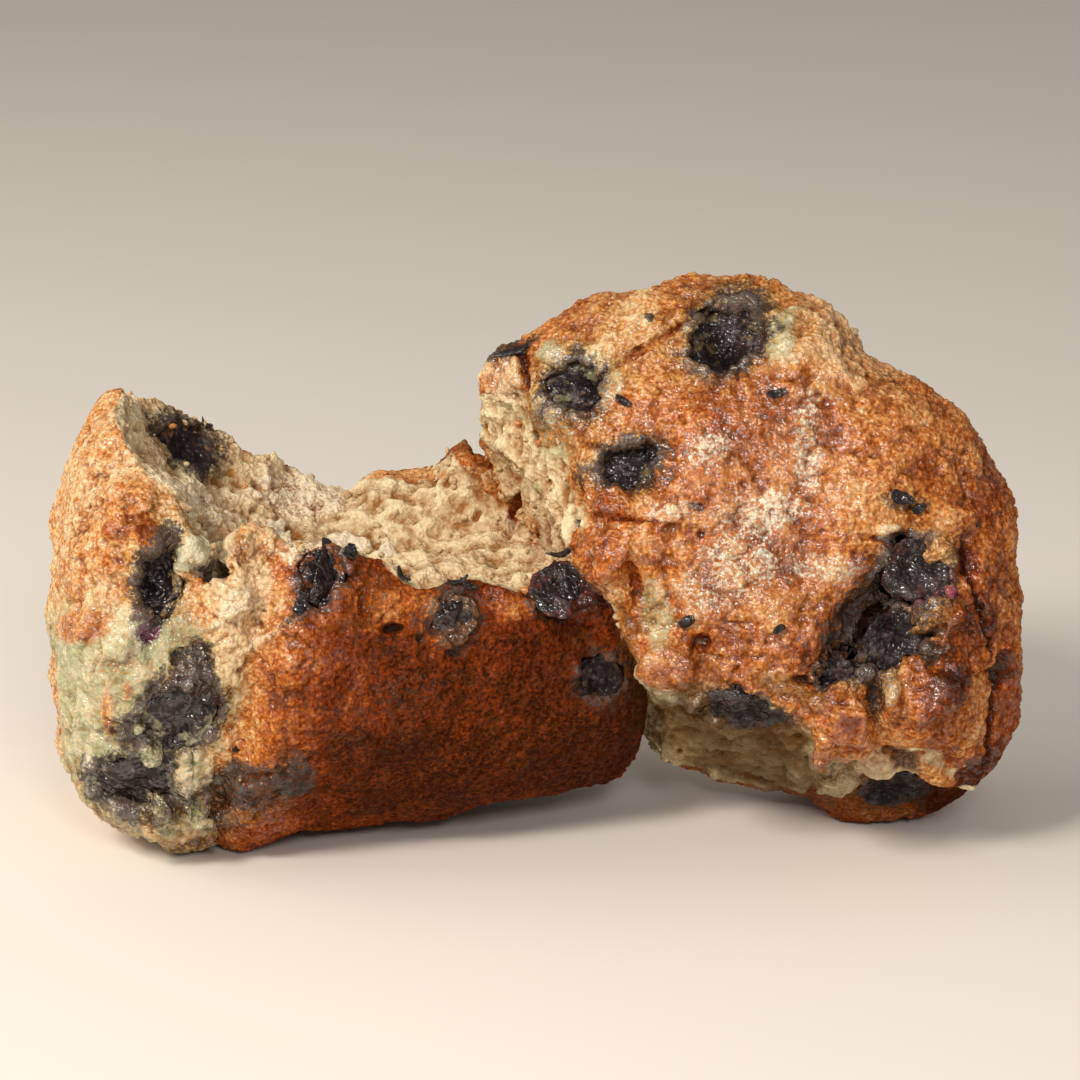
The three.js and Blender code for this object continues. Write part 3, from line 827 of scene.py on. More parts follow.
    def _stain_round(self, berries: list[Berry]) -> None:
        """Stains the crust and crumb round the berries."""
        uneven = 0.22 * Grain(21).waves(self.points, 2.4) + 0.12 * Grain(22).waves(self.points, 1.0)
        for berry in berries:
            reach = berry.reach_from(self.points) + uneven
            if berry.in_skin:
                self.tints[Tint.CRUST] = np.maximum(self.tints[Tint.CRUST], 1 - ease(reach, 1.5, 1.9))
            self._add(Tint.GREEN, berry.green * (1 - ease(reach, 1.2, 2.2)))
            self._add(Tint.BERRY, berry.juice * (1 - ease(reach, 1.0, 1.6)))

    def _add(self, tint: Tint, amount: np.ndarray) -> None:
        """Adds to a tint where there is less of it, or takes away a share. How brown it is just adds up."""
        if tint is Tint.BAKE:
            self.tints[tint] = self.tints[tint] + amount
            return
        now = self.tints[tint]
        self.tints[tint] = np.where(amount >= 0, now + amount * np.clip(1 - now, 0, 1), now + amount * now)

    def _lay_spots(self) -> np.ndarray:
        """Lays the spots of the front view on the surface.

        Returns:
            How far out each point goes for the spots that stand out or lie in.
        """
        across, down, depth = VIEW.project(self.points)
        coarse = np.zeros(len(self.points), np.float32)
        uneven = Grain(31).waves(self.points, 2.6) + 0.6 * Grain(32).waves(self.points, 1.1)
        toward = self.normals @ VIEW.axes[2]
        pixel = VIEW.picture * VIEW.lens / VIEW.sensor / VIEW.distance
        for spot in SPOTS:
            right, up = across - spot.centre[0], spot.centre[1] - down
            reach = 1.8 * max(spot.size)
            near = np.flatnonzero((np.abs(right) < reach) & (np.abs(up) < reach) & (toward > -0.3))
            if not len(near):
                LOG.warning("a spot at %s touches nothing", spot.centre)
                continue
            right, up = right[near], up[near]
            apart = np.hypot(right, up)
            middle = near[apart < max(apart.min() + 0.5, 5)]
            surface = depth[middle].min()
            turn = math.radians(spot.turn)
            along = (right * math.cos(turn) + up * math.sin(turn)) / spot.size[0]
            aside = (up * math.cos(turn) - right * math.sin(turn)) / spot.size[1]
            round_middle = np.hypot(along, aside) + 0.6 * spot.ragged * uneven[near]
            share = 1 - ease(round_middle, 1 - spot.soft, 1 + spot.soft)
            window = self.spot_reach[0] + self.spot_reach[1] * max(spot.size) / pixel
            share *= 1 - ease(np.abs(depth[near] - surface), window * 0.7, window)
            coarse[near] += spot.rise * share
            for tint, amount in spot.tints.items():
                whole = np.zeros(len(self.points), np.float32)
                whole[near] = amount * share
                self._add(tint, whole)
        return coarse

    def _fine_relief(self, berries: list[Berry]) -> np.ndarray:
        """The grain of the crust and the crumb.

        Args:
            berries: the berries, which the batter has risen round.

        Returns:
            How far out each point goes.
        """
        points = self.points
        crust = np.clip(self.tints[Tint.CRUST], 0, 1)
        warp = np.stack([Grain(41 + i).waves(points, 2.6) for i in range(3)], axis=1)
        relief = crust * self._crust_relief(points, warp) + (1 - crust) * self._crumb_relief(points, warp)
        return relief + self._overgrowth(berries)

    def _crust_relief(self, points: np.ndarray, warp: np.ndarray) -> np.ndarray:
        """The crags, cracks, grains and pores of crust.

        Args:
            points: where it is worked out.
            warp: how far the pattern is bent there.

        Returns:
            How far out each point goes.
        """
        bake = np.clip(self.tints[Tint.BAKE], 0, 1)
        calm = ease(bake, 0.55, 0.85)
        folds = np.abs(Grain(46).waves(points + 0.7 * warp, 3.4)) - 0.3
        crags = 0.5 * Grain(45).waves(points, 6.0) + 0.45 * folds
        first, second = Grain(58).cells(points + warp, 4.4)
        some = ease(Grain(59).waves(points, 6), -0.15, 0.3)
        cracks = -0.55 * (1 - ease(second - first, 0.02, 0.2)) * some
        beads, _ = Grain(47).cells(points + 0.45 * warp, 1.5)
        specks, _ = Grain(48).cells(points + 0.3 * warp, 0.85)
        grains = 0.24 * (0.5 - beads) + 0.46 * (0.5 - specks) + 0.14 * Grain(49).waves(points, 0.8)
        near, _ = Grain(50).cells(points + 0.3 * warp, 1.9)
        pores = -0.5 * (1 - ease(near, 0.1, 0.32)) * ease(Grain(56).waves(points, 4), -0.2, 0.3)
        return (1 - 0.55 * calm) * (crags + cracks) + (1 - 0.2 * calm) * grains + pores

    @staticmethod
    def _crumb_relief(points: np.ndarray, warp: np.ndarray) -> np.ndarray:
        """The clumps, tufts and bubbles of torn crumb.

        Args:
            points: where it is worked out.
            warp: how far the pattern is bent there.

        Returns:
            How far out each point goes.
        """
        relief = 0.9 * Grain(51).lumps(points + 1.4 * warp, 4.2) + 0.5 * Grain(62).waves(points, 3.0)
        relief += 0.7 * Grain(52).lumps(points + 0.8 * warp, 1.8)
        relief += 0.5 * Grain(61).lumps(points + 0.4 * warp, 0.95)
        near, _ = Grain(53).cells(points + 0.8 * warp, 3.0)
        relief -= 1.1 * (1 - ease(near, 0.1, 0.42)) * ease(Grain(54).waves(points, 4), -0.2, 0.2)
        return relief + 0.35 * Grain(55).waves(points, 1.1)

    def _overgrowth(self, berries: list[Berry]) -> np.ndarray:
        """The batter that has risen unevenly over the berries' edges.

        Args:
            berries: the berries.

        Returns:
            How far out each point goes.
        """
        nearest = np.min([berry.reach_from(self.points) for berry in berries], axis=0)
        ring = ease(nearest, 0.75, 1.0) * (1 - ease(nearest, 1.1, 1.5))
        uneven = 0.4 + 1.3 * Grain(57).waves(self.points, 3.2) + 0.3 * Grain(60).waves(self.points, 1.3)
        return ring * np.clip(uneven, -0.4, 1.6)

    def surface_at(self, centre: Pair) -> tuple[np.ndarray, np.ndarray]:
        """The point of the finished surface that shows at a place in the picture.

        Args:
            centre: the place, in picture pixels.

        Returns:
            The point, and the way out of the surface round it.
        """
        across, down, depth = VIEW.project(self.points)
        apart = np.hypot(across - centre[0], down - centre[1])
        near = np.flatnonzero((apart < max(apart.min() + 0.5, 6)) & (self.normals @ VIEW.axes[2] > 0))
        first = near[np.argmin(depth[near])]
        around = near[depth[near] < depth[first] + 1.5]
        return self.points[first], unit(self.normals[around].mean(axis=0))

    def _part(self, mesh: bpy.types.Mesh) -> None:
        """Parts the muffin into closed pieces.

        Args:
            mesh: the whole, which is removed.
        """
        edges = (None, *self.cuts, None)
        for name, low, high in zip(self.names, edges[:-1], edges[1:]):
            part = bmesh.new()
            part.from_mesh(mesh)
            for place, side in ((low, -1), (high, 1)):
                if place is not None:
                    self._cut(part, place * MM, side)
            add_piece(f"muffin_{name}", as_mesh(part, name, mesh.materials[0]), self.node)
        bpy.data.meshes.remove(mesh)

    def _cut(self, part: bmesh.types.BMesh, place: float, side: int) -> None:
        """Cuts away what is beyond a place along X and closes the cut.

        Args:
            part: the mesh to cut.
            place: where, in metres.
            side: 1 to cut away what is to the right, -1 what is to the left.
        """
        cut = bmesh.ops.bisect_plane(
            part,
            geom=[*part.verts, *part.edges, *part.faces],
            dist=1e-9,
            plane_co=(place, 0, 0),
            plane_no=(side, 0, 0),
            clear_outer=True,
        )
        rim = [item for item in cut["geom_cut"] if isinstance(item, bmesh.types.BMEdge)]
        for edge in rim:
            edge.smooth = False
        bmesh.ops.triangle_fill(part, use_beauty=False, use_dissolve=False, edges=rim, normal=(side, 0, 0))


def write_tints(mesh: bpy.types.Mesh, tints: dict[str, np.ndarray]) -> None:
    """Writes values for the points of a mesh as its attributes."""
    for name, values in tints.items():
        layer = mesh.attributes.new(name, "FLOAT", "POINT")
        layer.data.foreach_set("value", values.astype(np.float32))


def add_piece(name: str, mesh: bpy.types.Mesh, node: str | None) -> None:
    """Adds a finished piece that moves with the muffin.

    Args:
        name: the piece's name.
        mesh: its mesh, in metres in the model's frame.
        node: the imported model's node that it stands for, if any.
    """
    mesh.name = name
    piece = linked(name, mesh)
    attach(piece, BODY)
    if node:
        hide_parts(node)
    LOG.info("%s: %d faces", name, len(mesh.polygons))


# ---- The berries -------------------------------------------------------------------------------------------


@dataclass
class Berry:
    """A baked blueberry.

    Attributes:
        name: its node's name, without berry_ before it.
        facing: the way its open side faces.
        batter: the colour of the batter that is baked to it.
        sunk: how far the middle of its open side has fallen in.
        level: how far out its open side lies, as a share of its half width that way.
        swell: how much larger than its node it is, so that it meets the crumb round it.
        green: how strongly it turns the crumb round it green.
        juice: how far its juice has run.
        in_skin: whether it lies in the crust.
        gloss: how wet it is.
        bare: how much of its open side has no batter baked to it, as a share of its width.
    """

    name: str
    facing: Triple
    batter: Colour
    sunk: float = 1.2
    level: float = 0.1
    swell: float = 1.08
    green: float = 0.5
    juice: float = 0.9
    in_skin: bool = True
    gloss: float = 0.5
    bare: float = 0.8
    middle: np.ndarray = field(init=False)
    axes: np.ndarray = field(init=False)
    halves: np.ndarray = field(init=False)

    def __post_init__(self) -> None:
        """Finds the node's middle, axes and half widths."""
        mesh = bpy.data.objects[self.node].data
        corners = np.array([tuple(vertex.co) for vertex in mesh.vertices]) / MM
        self.middle = (corners.min(axis=0) + corners.max(axis=0)) / 2
        _, axes = np.linalg.eigh(np.cov((corners - self.middle).T))
        self.axes = axes if np.linalg.det(axes) > 0 else axes * (1, 1, -1)
        self.halves = np.abs((corners - self.middle) @ self.axes).max(axis=0)

    @property
    def node(self) -> str:
        """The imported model's node that it stands for."""
        return f"berry_{self.name}"

    def reach_from(self, points: np.ndarray) -> np.ndarray:
        """How far points are from its middle, where 1 is on its skin."""
        return np.linalg.norm((points - self.middle) @ self.axes / self.halves, axis=1)

    def build(self, finish: bpy.types.Material, seed: int) -> None:
        """Makes its wrinkled skin.

        Args:
            finish: its material.
            seed: which wrinkles it has.
        """
        ball = bmesh.new()
        bmesh.ops.create_icosphere(ball, subdivisions=5, radius=1)
        ways = np.array([tuple(vertex.co) for vertex in ball.verts])
        grain = Grain(100 + seed)
        facing = unit(np.array(self.facing, float)) @ self.axes
        outward = unit(ways / self.halves)
        points = ways * self.halves * self.swell
        out = points @ facing
        roof = self.level * float(np.linalg.norm(facing * self.halves))
        over = np.maximum(out - roof, 0)
        aside = np.linalg.norm(ways - (ways @ facing)[:, None] * facing, axis=1)
        bowl = (1 - ease(aside, 0.1, self.bare + 0.1)) * ease(out, 0, roof + 0.3)
        fold = 1 - np.abs(grain.waves(points, 3.4)) * 1.6
        height = 0.5 * (fold - 0.6) + 0.7 * grain.waves(points + 80, 4.0)
        height += 0.4 * grain.lumps(points, 1.7) + 0.4 * grain.lumps(points + 40, 0.8)
        points = points + outward * height[:, None]
        points -= facing * (0.85 * over + self.sunk * bowl)[:, None]
        places = (points @ self.axes.T + self.middle) * MM
        uneven = 0.6 * grain.waves(points, 3.4) + 0.3 * grain.waves(points, 1.3)
        tints = {
            "fold": np.clip(height / 0.5, -1, 1),
            "gloss": np.full(len(ways), self.gloss),
            "edge": ease(aside + uneven, self.bare - 0.3, self.bare + 0.3),
        }
        for vertex, place in zip(ball.verts, places):
            vertex.co = place
            vertex.co.z = max(vertex.co.z, 0.0)
        mesh = as_mesh(ball, self.name, finish)
        write_tints(mesh, tints)
        layer = mesh.attributes.new("batter", "FLOAT_COLOR", "POINT")
        layer.data.foreach_set("color", np.tile(linear(self.batter), len(ways)).astype(np.float32))
        add_piece(f"blueberry_{self.name}", mesh, self.node)


@dataclass(frozen=True)
class Flake:
    """A curled scrap of burst berry skin on the front of the muffin.

    Attributes:
        centre: its middle, in picture pixels.
        size: its half length and half width, in millimetres.
        turn: how far its length is turned anticlockwise, in degrees.
        lift: how far its middle stands off the surface.
        curl: how far its ends rise over its middle.
    """

    centre: Pair
    size: Pair
    turn: float = 0.0
    lift: float = 0.2
    curl: float = 0.4

    def shape(self, sheet: np.ndarray, body: MuffinBody, grain: Grain) -> np.ndarray:
        """Lays the flake on the surface.

        Args:
            sheet: points of a flat square that reaches from -1 to 1 both ways.
            body: the muffin that it lies on.
            grain: the noise that crumples it.

        Returns:
            Where the points go.
        """
        foot, outward = body.surface_at(self.centre)
        right, up, _ = VIEW.axes
        turn = math.radians(self.turn)
        along = math.cos(turn) * right + math.sin(turn) * up
        along = unit(along - (along @ outward) * outward)
        aside = np.cross(outward, along)
        far, across = sheet[:, 0], sheet[:, 1] * np.sqrt(1 - 0.8 * sheet[:, 0] ** 2)
        flat = np.outer(far * self.size[0], along) + np.outer(across * self.size[1], aside)
        flat += 0.3 * np.outer(grain.waves(foot + flat, 2.0), along + aside)
        height = self.lift + self.curl * far**2 + 0.35 * grain.waves(foot + flat, 1.8)
        return foot + flat + np.outer(height, outward)


FLAKES = (
    Flake((775, 392), (1.2, 0.6), 20, 0.4),
    Flake((684, 619), (1.1, 0.7), 15, 0.4),
    Flake((778, 633), (0.7, 0.5), 40, 0.3),
    Flake((902, 500), (1.6, 0.9), -14, 0.1, 0.2),
    Flake((922, 506), (0.9, 0.6), 30, 0.2),
    Flake((512, 349), (2.4, 0.7), 26, 0.5, 0.3),
    Flake((312, 578), (4.6, 1.5), 62, 3.4, -1.2),
    Flake((330, 562), (2.4, 1.4), 20, 3.6, 0.7),
    Flake((301, 604), (1.6, 0.9), 74, 0.5),
    Flake((350, 553), (1.4, 0.8), 80, 0.8, 0.5),
    Flake((407, 577), (1.2, 0.45), 100, 0.2),
    Flake((455, 583), (1.3, 0.4), 30, 0.6, 0.6),
    Flake((468, 585), (1.0, 0.35), -30, 0.6, 0.6),
    Flake((545, 574), (2.0, 0.8), 40, 0.6, 0.8),
    Flake((562, 566), (2.2, 0.9), 70, 2.4, 0.8),
    Flake((582, 588), (2.0, 0.8), -50, 1.6, 0.6),
    Flake((624, 395), (1.0, 0.5), -30, 0.3),
    Flake((208, 420), (1.0, 0.4), -30, 0.3),
)


@dataclass(frozen=True)
class BurstSkins:
    """All the scraps of burst berry skin.

    Attributes:
        flakes: each scrap.
        thickness: of the skin.
        steps: how many faces long and wide a scrap's mesh is.
        gloss: how wet it is.
    """

    flakes: tuple[Flake, ...] = FLAKES
    thickness: float = 0.25
    steps: tuple[int, int] = (14, 6)
    gloss: float = 0.9

    def build(self, body: MuffinBody, finish: bpy.types.Material) -> None:
        """Makes the scraps as one piece.

        Args:
            body: the muffin that they lie on.
            finish: their material.
        """
        skins = bmesh.new()
        long, wide = self.steps
        for seed, flake in enumerate(self.flakes):
            made = bmesh.ops.create_grid(skins, x_segments=long, y_segments=wide, size=1)["verts"]
            sheet = np.array([tuple(vertex.co) for vertex in made])
            for vertex, place in zip(made, flake.shape(sheet, body, Grain(200 + seed))):
                vertex.co = place * MM
        bmesh.ops.solidify(skins, geom=skins.faces[:], thickness=self.thickness * MM)
        bmesh.ops.recalc_face_normals(skins, faces=skins.faces[:])
        mesh = as_mesh(skins, "burst_skins", finish)
        for tint, amount in (("fold", 0), ("gloss", self.gloss), ("edge", 0)):
            write_tints(mesh, {tint: np.full(len(mesh.vertices), amount)})
        add_piece("burst_skins", mesh, None)


@dataclass(frozen=True)
class Crumbs:
    """Loose crumbs on the torn faces and along their edges.

    Attributes:
        count: how many there are.
        half_widths: draws from which the smallest and the largest are made.
        lowest: the height that they all lie above.
        baked: how many of them are crust, as a share.
        seed: which draw it is.
    """

    count: int = 420
    half_widths: Pair = (0.28, 0.75)
    lowest: float = 32
    baked: float = 0.03
    seed: int = 71

    def build(self, body: MuffinBody, finish: bpy.types.Material) -> None:
        """Makes the crumbs as one piece.

        Args:
            body: the muffin that they lie on.
            finish: their material.
        """
        draws = np.random.default_rng(self.seed)
        crust = body.tints[Tint.CRUST]
        chance = np.where(crust < 0.3, 1.0, 3.0 * (crust < 0.8))
        chance *= body.points[:, 2] > self.lowest
        spots = draws.choice(len(crust), self.count, replace=False, p=chance / chance.sum())
        loose = bmesh.new()
        baked = []
        for spot in spots:
            width = draws.uniform(*self.half_widths) ** 1.3
            sizes = width * draws.uniform(0.6, 1.2, 3)
            turned = Matrix.Rotation(draws.uniform(0, math.pi), 4, Vector(draws.normal(size=3)))
            place = Vector((body.points[spot] + 0.3 * width * body.normals[spot]) * MM)
            shape = Matrix.Translation(place) @ turned @ Matrix.Diagonal((*(sizes * MM), 1))
            made = bmesh.ops.create_icosphere(loose, subdivisions=1, radius=1, matrix=shape)["verts"]
            for vertex in made:
                vertex.co += Vector(draws.uniform(-0.2, 0.2, 3) * width * MM)
            baked += [draws.random() < self.baked] * len(made)
        mesh = as_mesh(loose, "crumbs", finish)
        for tint, amount in ((Tint.CRUST, 1), (Tint.BAKE, 0.35), (Tint.SHINE, 0.4)):
            write_tints(mesh, {tint.value: amount * np.array(baked, float)})
        add_piece("crumbs", mesh, None)


def all_berries() -> list[Berry]:
    """The berries, with how each is baked."""
    rim = partial(Berry, green=0, gloss=0.8)
    right = partial(Berry, green=0.2, gloss=0.3)
    return [
        Berry("left_inside", (0.6, -0.45, 0.65), (126, 84, 54), in_skin=False, green=0.3, gloss=0.2),
        Berry("left_end_upper", (0, -0.95, 0.3), (150, 124, 84), sunk=1.8, green=0.3, bare=0.85),
        Berry("left_end_middle", (0.1, -0.98, -0.1), (150, 142, 112), sunk=0.3, gloss=1.0),
        Berry("left_end_lower", (-0.1, -0.9, -0.4), (134, 128, 108), sunk=0.1, gloss=1.0),
        rim("left_rim_first", (0.05, -0.9, 0.42), (150, 84, 40), sunk=0.2, level=0.2, juice=0.7, bare=0.7),
        rim("left_rim_second", (0.1, -0.97, 0.2), (120, 76, 44), sunk=-0.4, juice=0.7, bare=0.5),
        rim("left_rim_third", (0.2, -0.85, 0.5), (92, 34, 22), sunk=0.9, level=0.2, juice=0.6),
        Berry(
            "left_side", (0.25, -0.96, 0.05), (70, 48, 26),
            sunk=0.7, level=0.15, green=0, juice=0.6, gloss=0.0, bare=0.9,
        ),
        Berry("dome_top", (-0.05, -0.7, 0.72), (100, 84, 52), sunk=1.8, green=0.6, gloss=0.35),
        Berry("dome_left", (-0.35, -0.75, 0.56), (134, 128, 96), sunk=1.6, green=0.6, gloss=0.3, bare=0.7),
        Berry("dome_left_lower", (-0.28, -0.86, 0.43), (112, 92, 60), sunk=0.8, green=0.4),
        right("dome_right_upper", (0.25, -0.92, 0.25), (84, 44, 42), sunk=0.6, gloss=0.9, bare=0.95),
        right("dome_right_lower", (0.14, -0.95, 0.2), (78, 56, 54), sunk=0.6, bare=1.1),
        right("dome_right_small", (0.1, -0.95, 0.3), (84, 56, 46), sunk=0.4, bare=0.9),
        Berry("under_dome", (-0.1, -0.9, -0.4), (64, 44, 26), sunk=0.4, in_skin=False, green=0.2),
        Berry("foot", (0, -0.9, -0.35), (60, 36, 22), sunk=0.3, green=0.1, gloss=0.2),
        Berry("back_left", (0.1, 0.99, 0), (112, 56, 26), sunk=0.4, level=0.6, green=0.2, bare=0.7),
        Berry("back_torn", (-0.19, 0.895, -0.4), (150, 128, 92), sunk=0.4, in_skin=False, bare=0.7),
    ]  # fmt: skip


# ---- Finishes ----------------------------------------------------------------------------------------------


@dataclass(frozen=True)
class Value:
    """A number or a colour on its way through a material.

    Attributes:
        sheet: the material's nodes.
        socket: the output that gives it.
    """

    sheet: Sheet
    socket: bpy.types.NodeSocket

    def _sum(self, operation: str, first: Value | float, second: Value | float) -> Value:
        """One Math node."""
        return self.sheet.add("ShaderNodeMath", {"operation": operation}, {0: first, 1: second})

    def __add__(self, other: Value | float) -> Value:
        """The sum."""
        return self._sum("ADD", self, other)

    __radd__ = __add__

    def __sub__(self, other: Value | float) -> Value:
        """The difference."""
        return self._sum("SUBTRACT", self, other)

    def __rsub__(self, other: float) -> Value:
        """The difference from a number."""
        return self._sum("SUBTRACT", other, self)

    def __mul__(self, other: Value | float) -> Value:
        """The product."""
        return self._sum("MULTIPLY", self, other)

    __rmul__ = __mul__

    def held(self, low: float = 0.0, high: float = 1.0) -> Value:
        """The value kept between two numbers."""
        return self._sum("MINIMUM", self._sum("MAXIMUM", self, low), high)

    def eased(self, low: float, high: float) -> Value:
        """The value eased from 0 at low to 1 at high."""
        inputs = {"Value": self, "From Min": low, "From Max": high}
        return self.sheet.add("ShaderNodeMapRange", {"interpolation_type": "SMOOTHSTEP"}, inputs)


@dataclass(frozen=True)
class Gloss:
    """How a surface takes the light.

    Attributes:
        roughness: from 0 for a mirror to 1.
        mirror: how strongly it mirrors, where 0.5 is usual.
    """

    roughness: float
    mirror: float


DRY = Gloss(0.7, 0.04)
DULL = Gloss(0.6, 0.12)
WET = Gloss(0.2, 1.0)
PLAIN = Gloss(0.85, 0.5)


class Sheet:
    """The nodes of one material."""

    def __init__(self, name: str) -> None:
        """Starts a material with nothing in it but its output."""
        self.material = bpy.data.materials.new(name)
        self.material.use_nodes = True
        self.tree = self.material.node_tree
        self.tree.nodes.clear()
        place = self.tree.nodes.new("ShaderNodeTexCoord")
        self.place = Value(self, place.outputs["Object"])

    def add(self, kind: str, settings: dict, inputs: dict | None = None, output: str | int = 0) -> Value:
        """Adds a node.

        Args:
            kind: its type.
            settings: its own settings. stops are a ramp's places and colours.
            inputs: values or links of its sockets, by name or number.
            output: which output is wanted, by name or number.

        Returns:
            The node's output.
        """
        node = self.tree.nodes.new(kind)
        for name, setting in settings.items():
            if name == "stops":
                self._set_ramp(node.color_ramp, setting)
            else:
                setattr(node, name, setting)
        for name, given in (inputs or {}).items():
            if isinstance(given, Value):
                self.tree.links.new(given.socket, node.inputs[name])
            else:
                node.inputs[name].default_value = given
        return Value(self, node.outputs[output])

    @staticmethod
    def _set_ramp(ramp: bpy.types.ColorRamp, stops: list[tuple[float, Colour]]) -> None:
        """Sets a colour ramp's stops."""
        while len(ramp.elements) < len(stops):
            ramp.elements.new(1.0)
        for element, (place, colour) in zip(ramp.elements, stops):
            element.position = place
            element.color = linear(colour)

    def tint(self, name: str) -> Value:
        """An attribute of the mesh."""
        return self.add("ShaderNodeAttribute", {"attribute_name": name}, output="Fac")

    def noise(self, size: float, detail: float = 2.0, roughness: float = 0.5) -> Value:
        """Noise with bumps of a size in millimetres, about 0.5 on average."""
        inputs = {"Vector": self.place, "Scale": 1 / (size * MM), "Detail": detail, "Roughness": roughness}
        return self.add("ShaderNodeTexNoise", {"noise_dimensions": "3D"}, inputs)

    def grains(self, size: float) -> Value:
        """Distances to scattered seeds a size in millimetres apart."""
        inputs = {"Vector": self.place, "Scale": 1 / (size * MM), "Randomness": 1.0}
        return self.add("ShaderNodeTexVoronoi", {"feature": "F1"}, inputs, output="Distance")

    def ramp(self, value: Value, *stops: tuple[float, Colour]) -> Value:
        """A colour for a value."""
        return self.add("ShaderNodeValToRGB", {"stops": list(stops)}, {"Fac": value}, output="Color")

    def mix(self, share: Value | float, first: Value | Colour, second: Value | Colour) -> Value:
        """A colour between two others.

        Args:
            share: 0 for the first, 1 for the second.
            first: a colour.
            second: another.

        Returns:
            The mixture.
        """
        colours = [one if isinstance(one, Value) else linear(one) for one in (first, second)]
        settings = {"data_type": "RGBA", "clamp_factor": True}
        return self.add("ShaderNodeMix", settings, {0: share, 6: colours[0], 7: colours[1]}, output=2)

    def soak(self, share: Value, base: Value, dye: Colour) -> Value:
        """A colour darkened by a clear dye, where share is 1."""
        settings = {"data_type": "RGBA", "clamp_factor": True, "blend_type": "MULTIPLY"}
        return self.add("ShaderNodeMix", settings, {0: share, 6: base, 7: linear(dye)}, output=2)

    def bump(self, height: Value, deep: float) -> Value:
        """Fine relief, deep in millimetres."""
        return self.add("ShaderNodeBump", {}, {"Height": height, "Distance": deep * MM}, output="Normal")

    def droplets(self, size: float, deep: float, under: Value | float = 0.0) -> Value:
        """Relief of round drops, each of which catches the light once.

        Args:
            size: how far apart they are.
            deep: how high they are.
            under: the relief that they lie on, as a share of their height.

        Returns:
            The normal.
        """
        away = self.grains(size)
        return self.bump(1 - away * away + under, deep)

    def surface(self, base: Value, gloss: Gloss, more: dict) -> Value:
        """A principled shader.

        Args:
            base: its colour.
            gloss: how it takes the light.
            more: values or links of its other sockets, by name.

        Returns:
            The shader.
        """
        usual = {"Base Color": base, "Roughness": gloss.roughness, "Specular IOR Level": gloss.mirror}
        return self.add("ShaderNodeBsdfPrincipled", {}, {**usual, **more}, output="BSDF")

    def blend(self, share: Value, first: Value, second: Value) -> Value:
        """A shader between two others, the first where share is 0."""
        return self.add("ShaderNodeMixShader", {}, {0: share, 1: first, 2: second})

    def add_output(self, shader: Value) -> None:
        """Joins a shader to the material's output."""
        node = self.tree.nodes.new("ShaderNodeOutputMaterial")
        self.tree.links.new(shader.socket, node.inputs["Surface"])


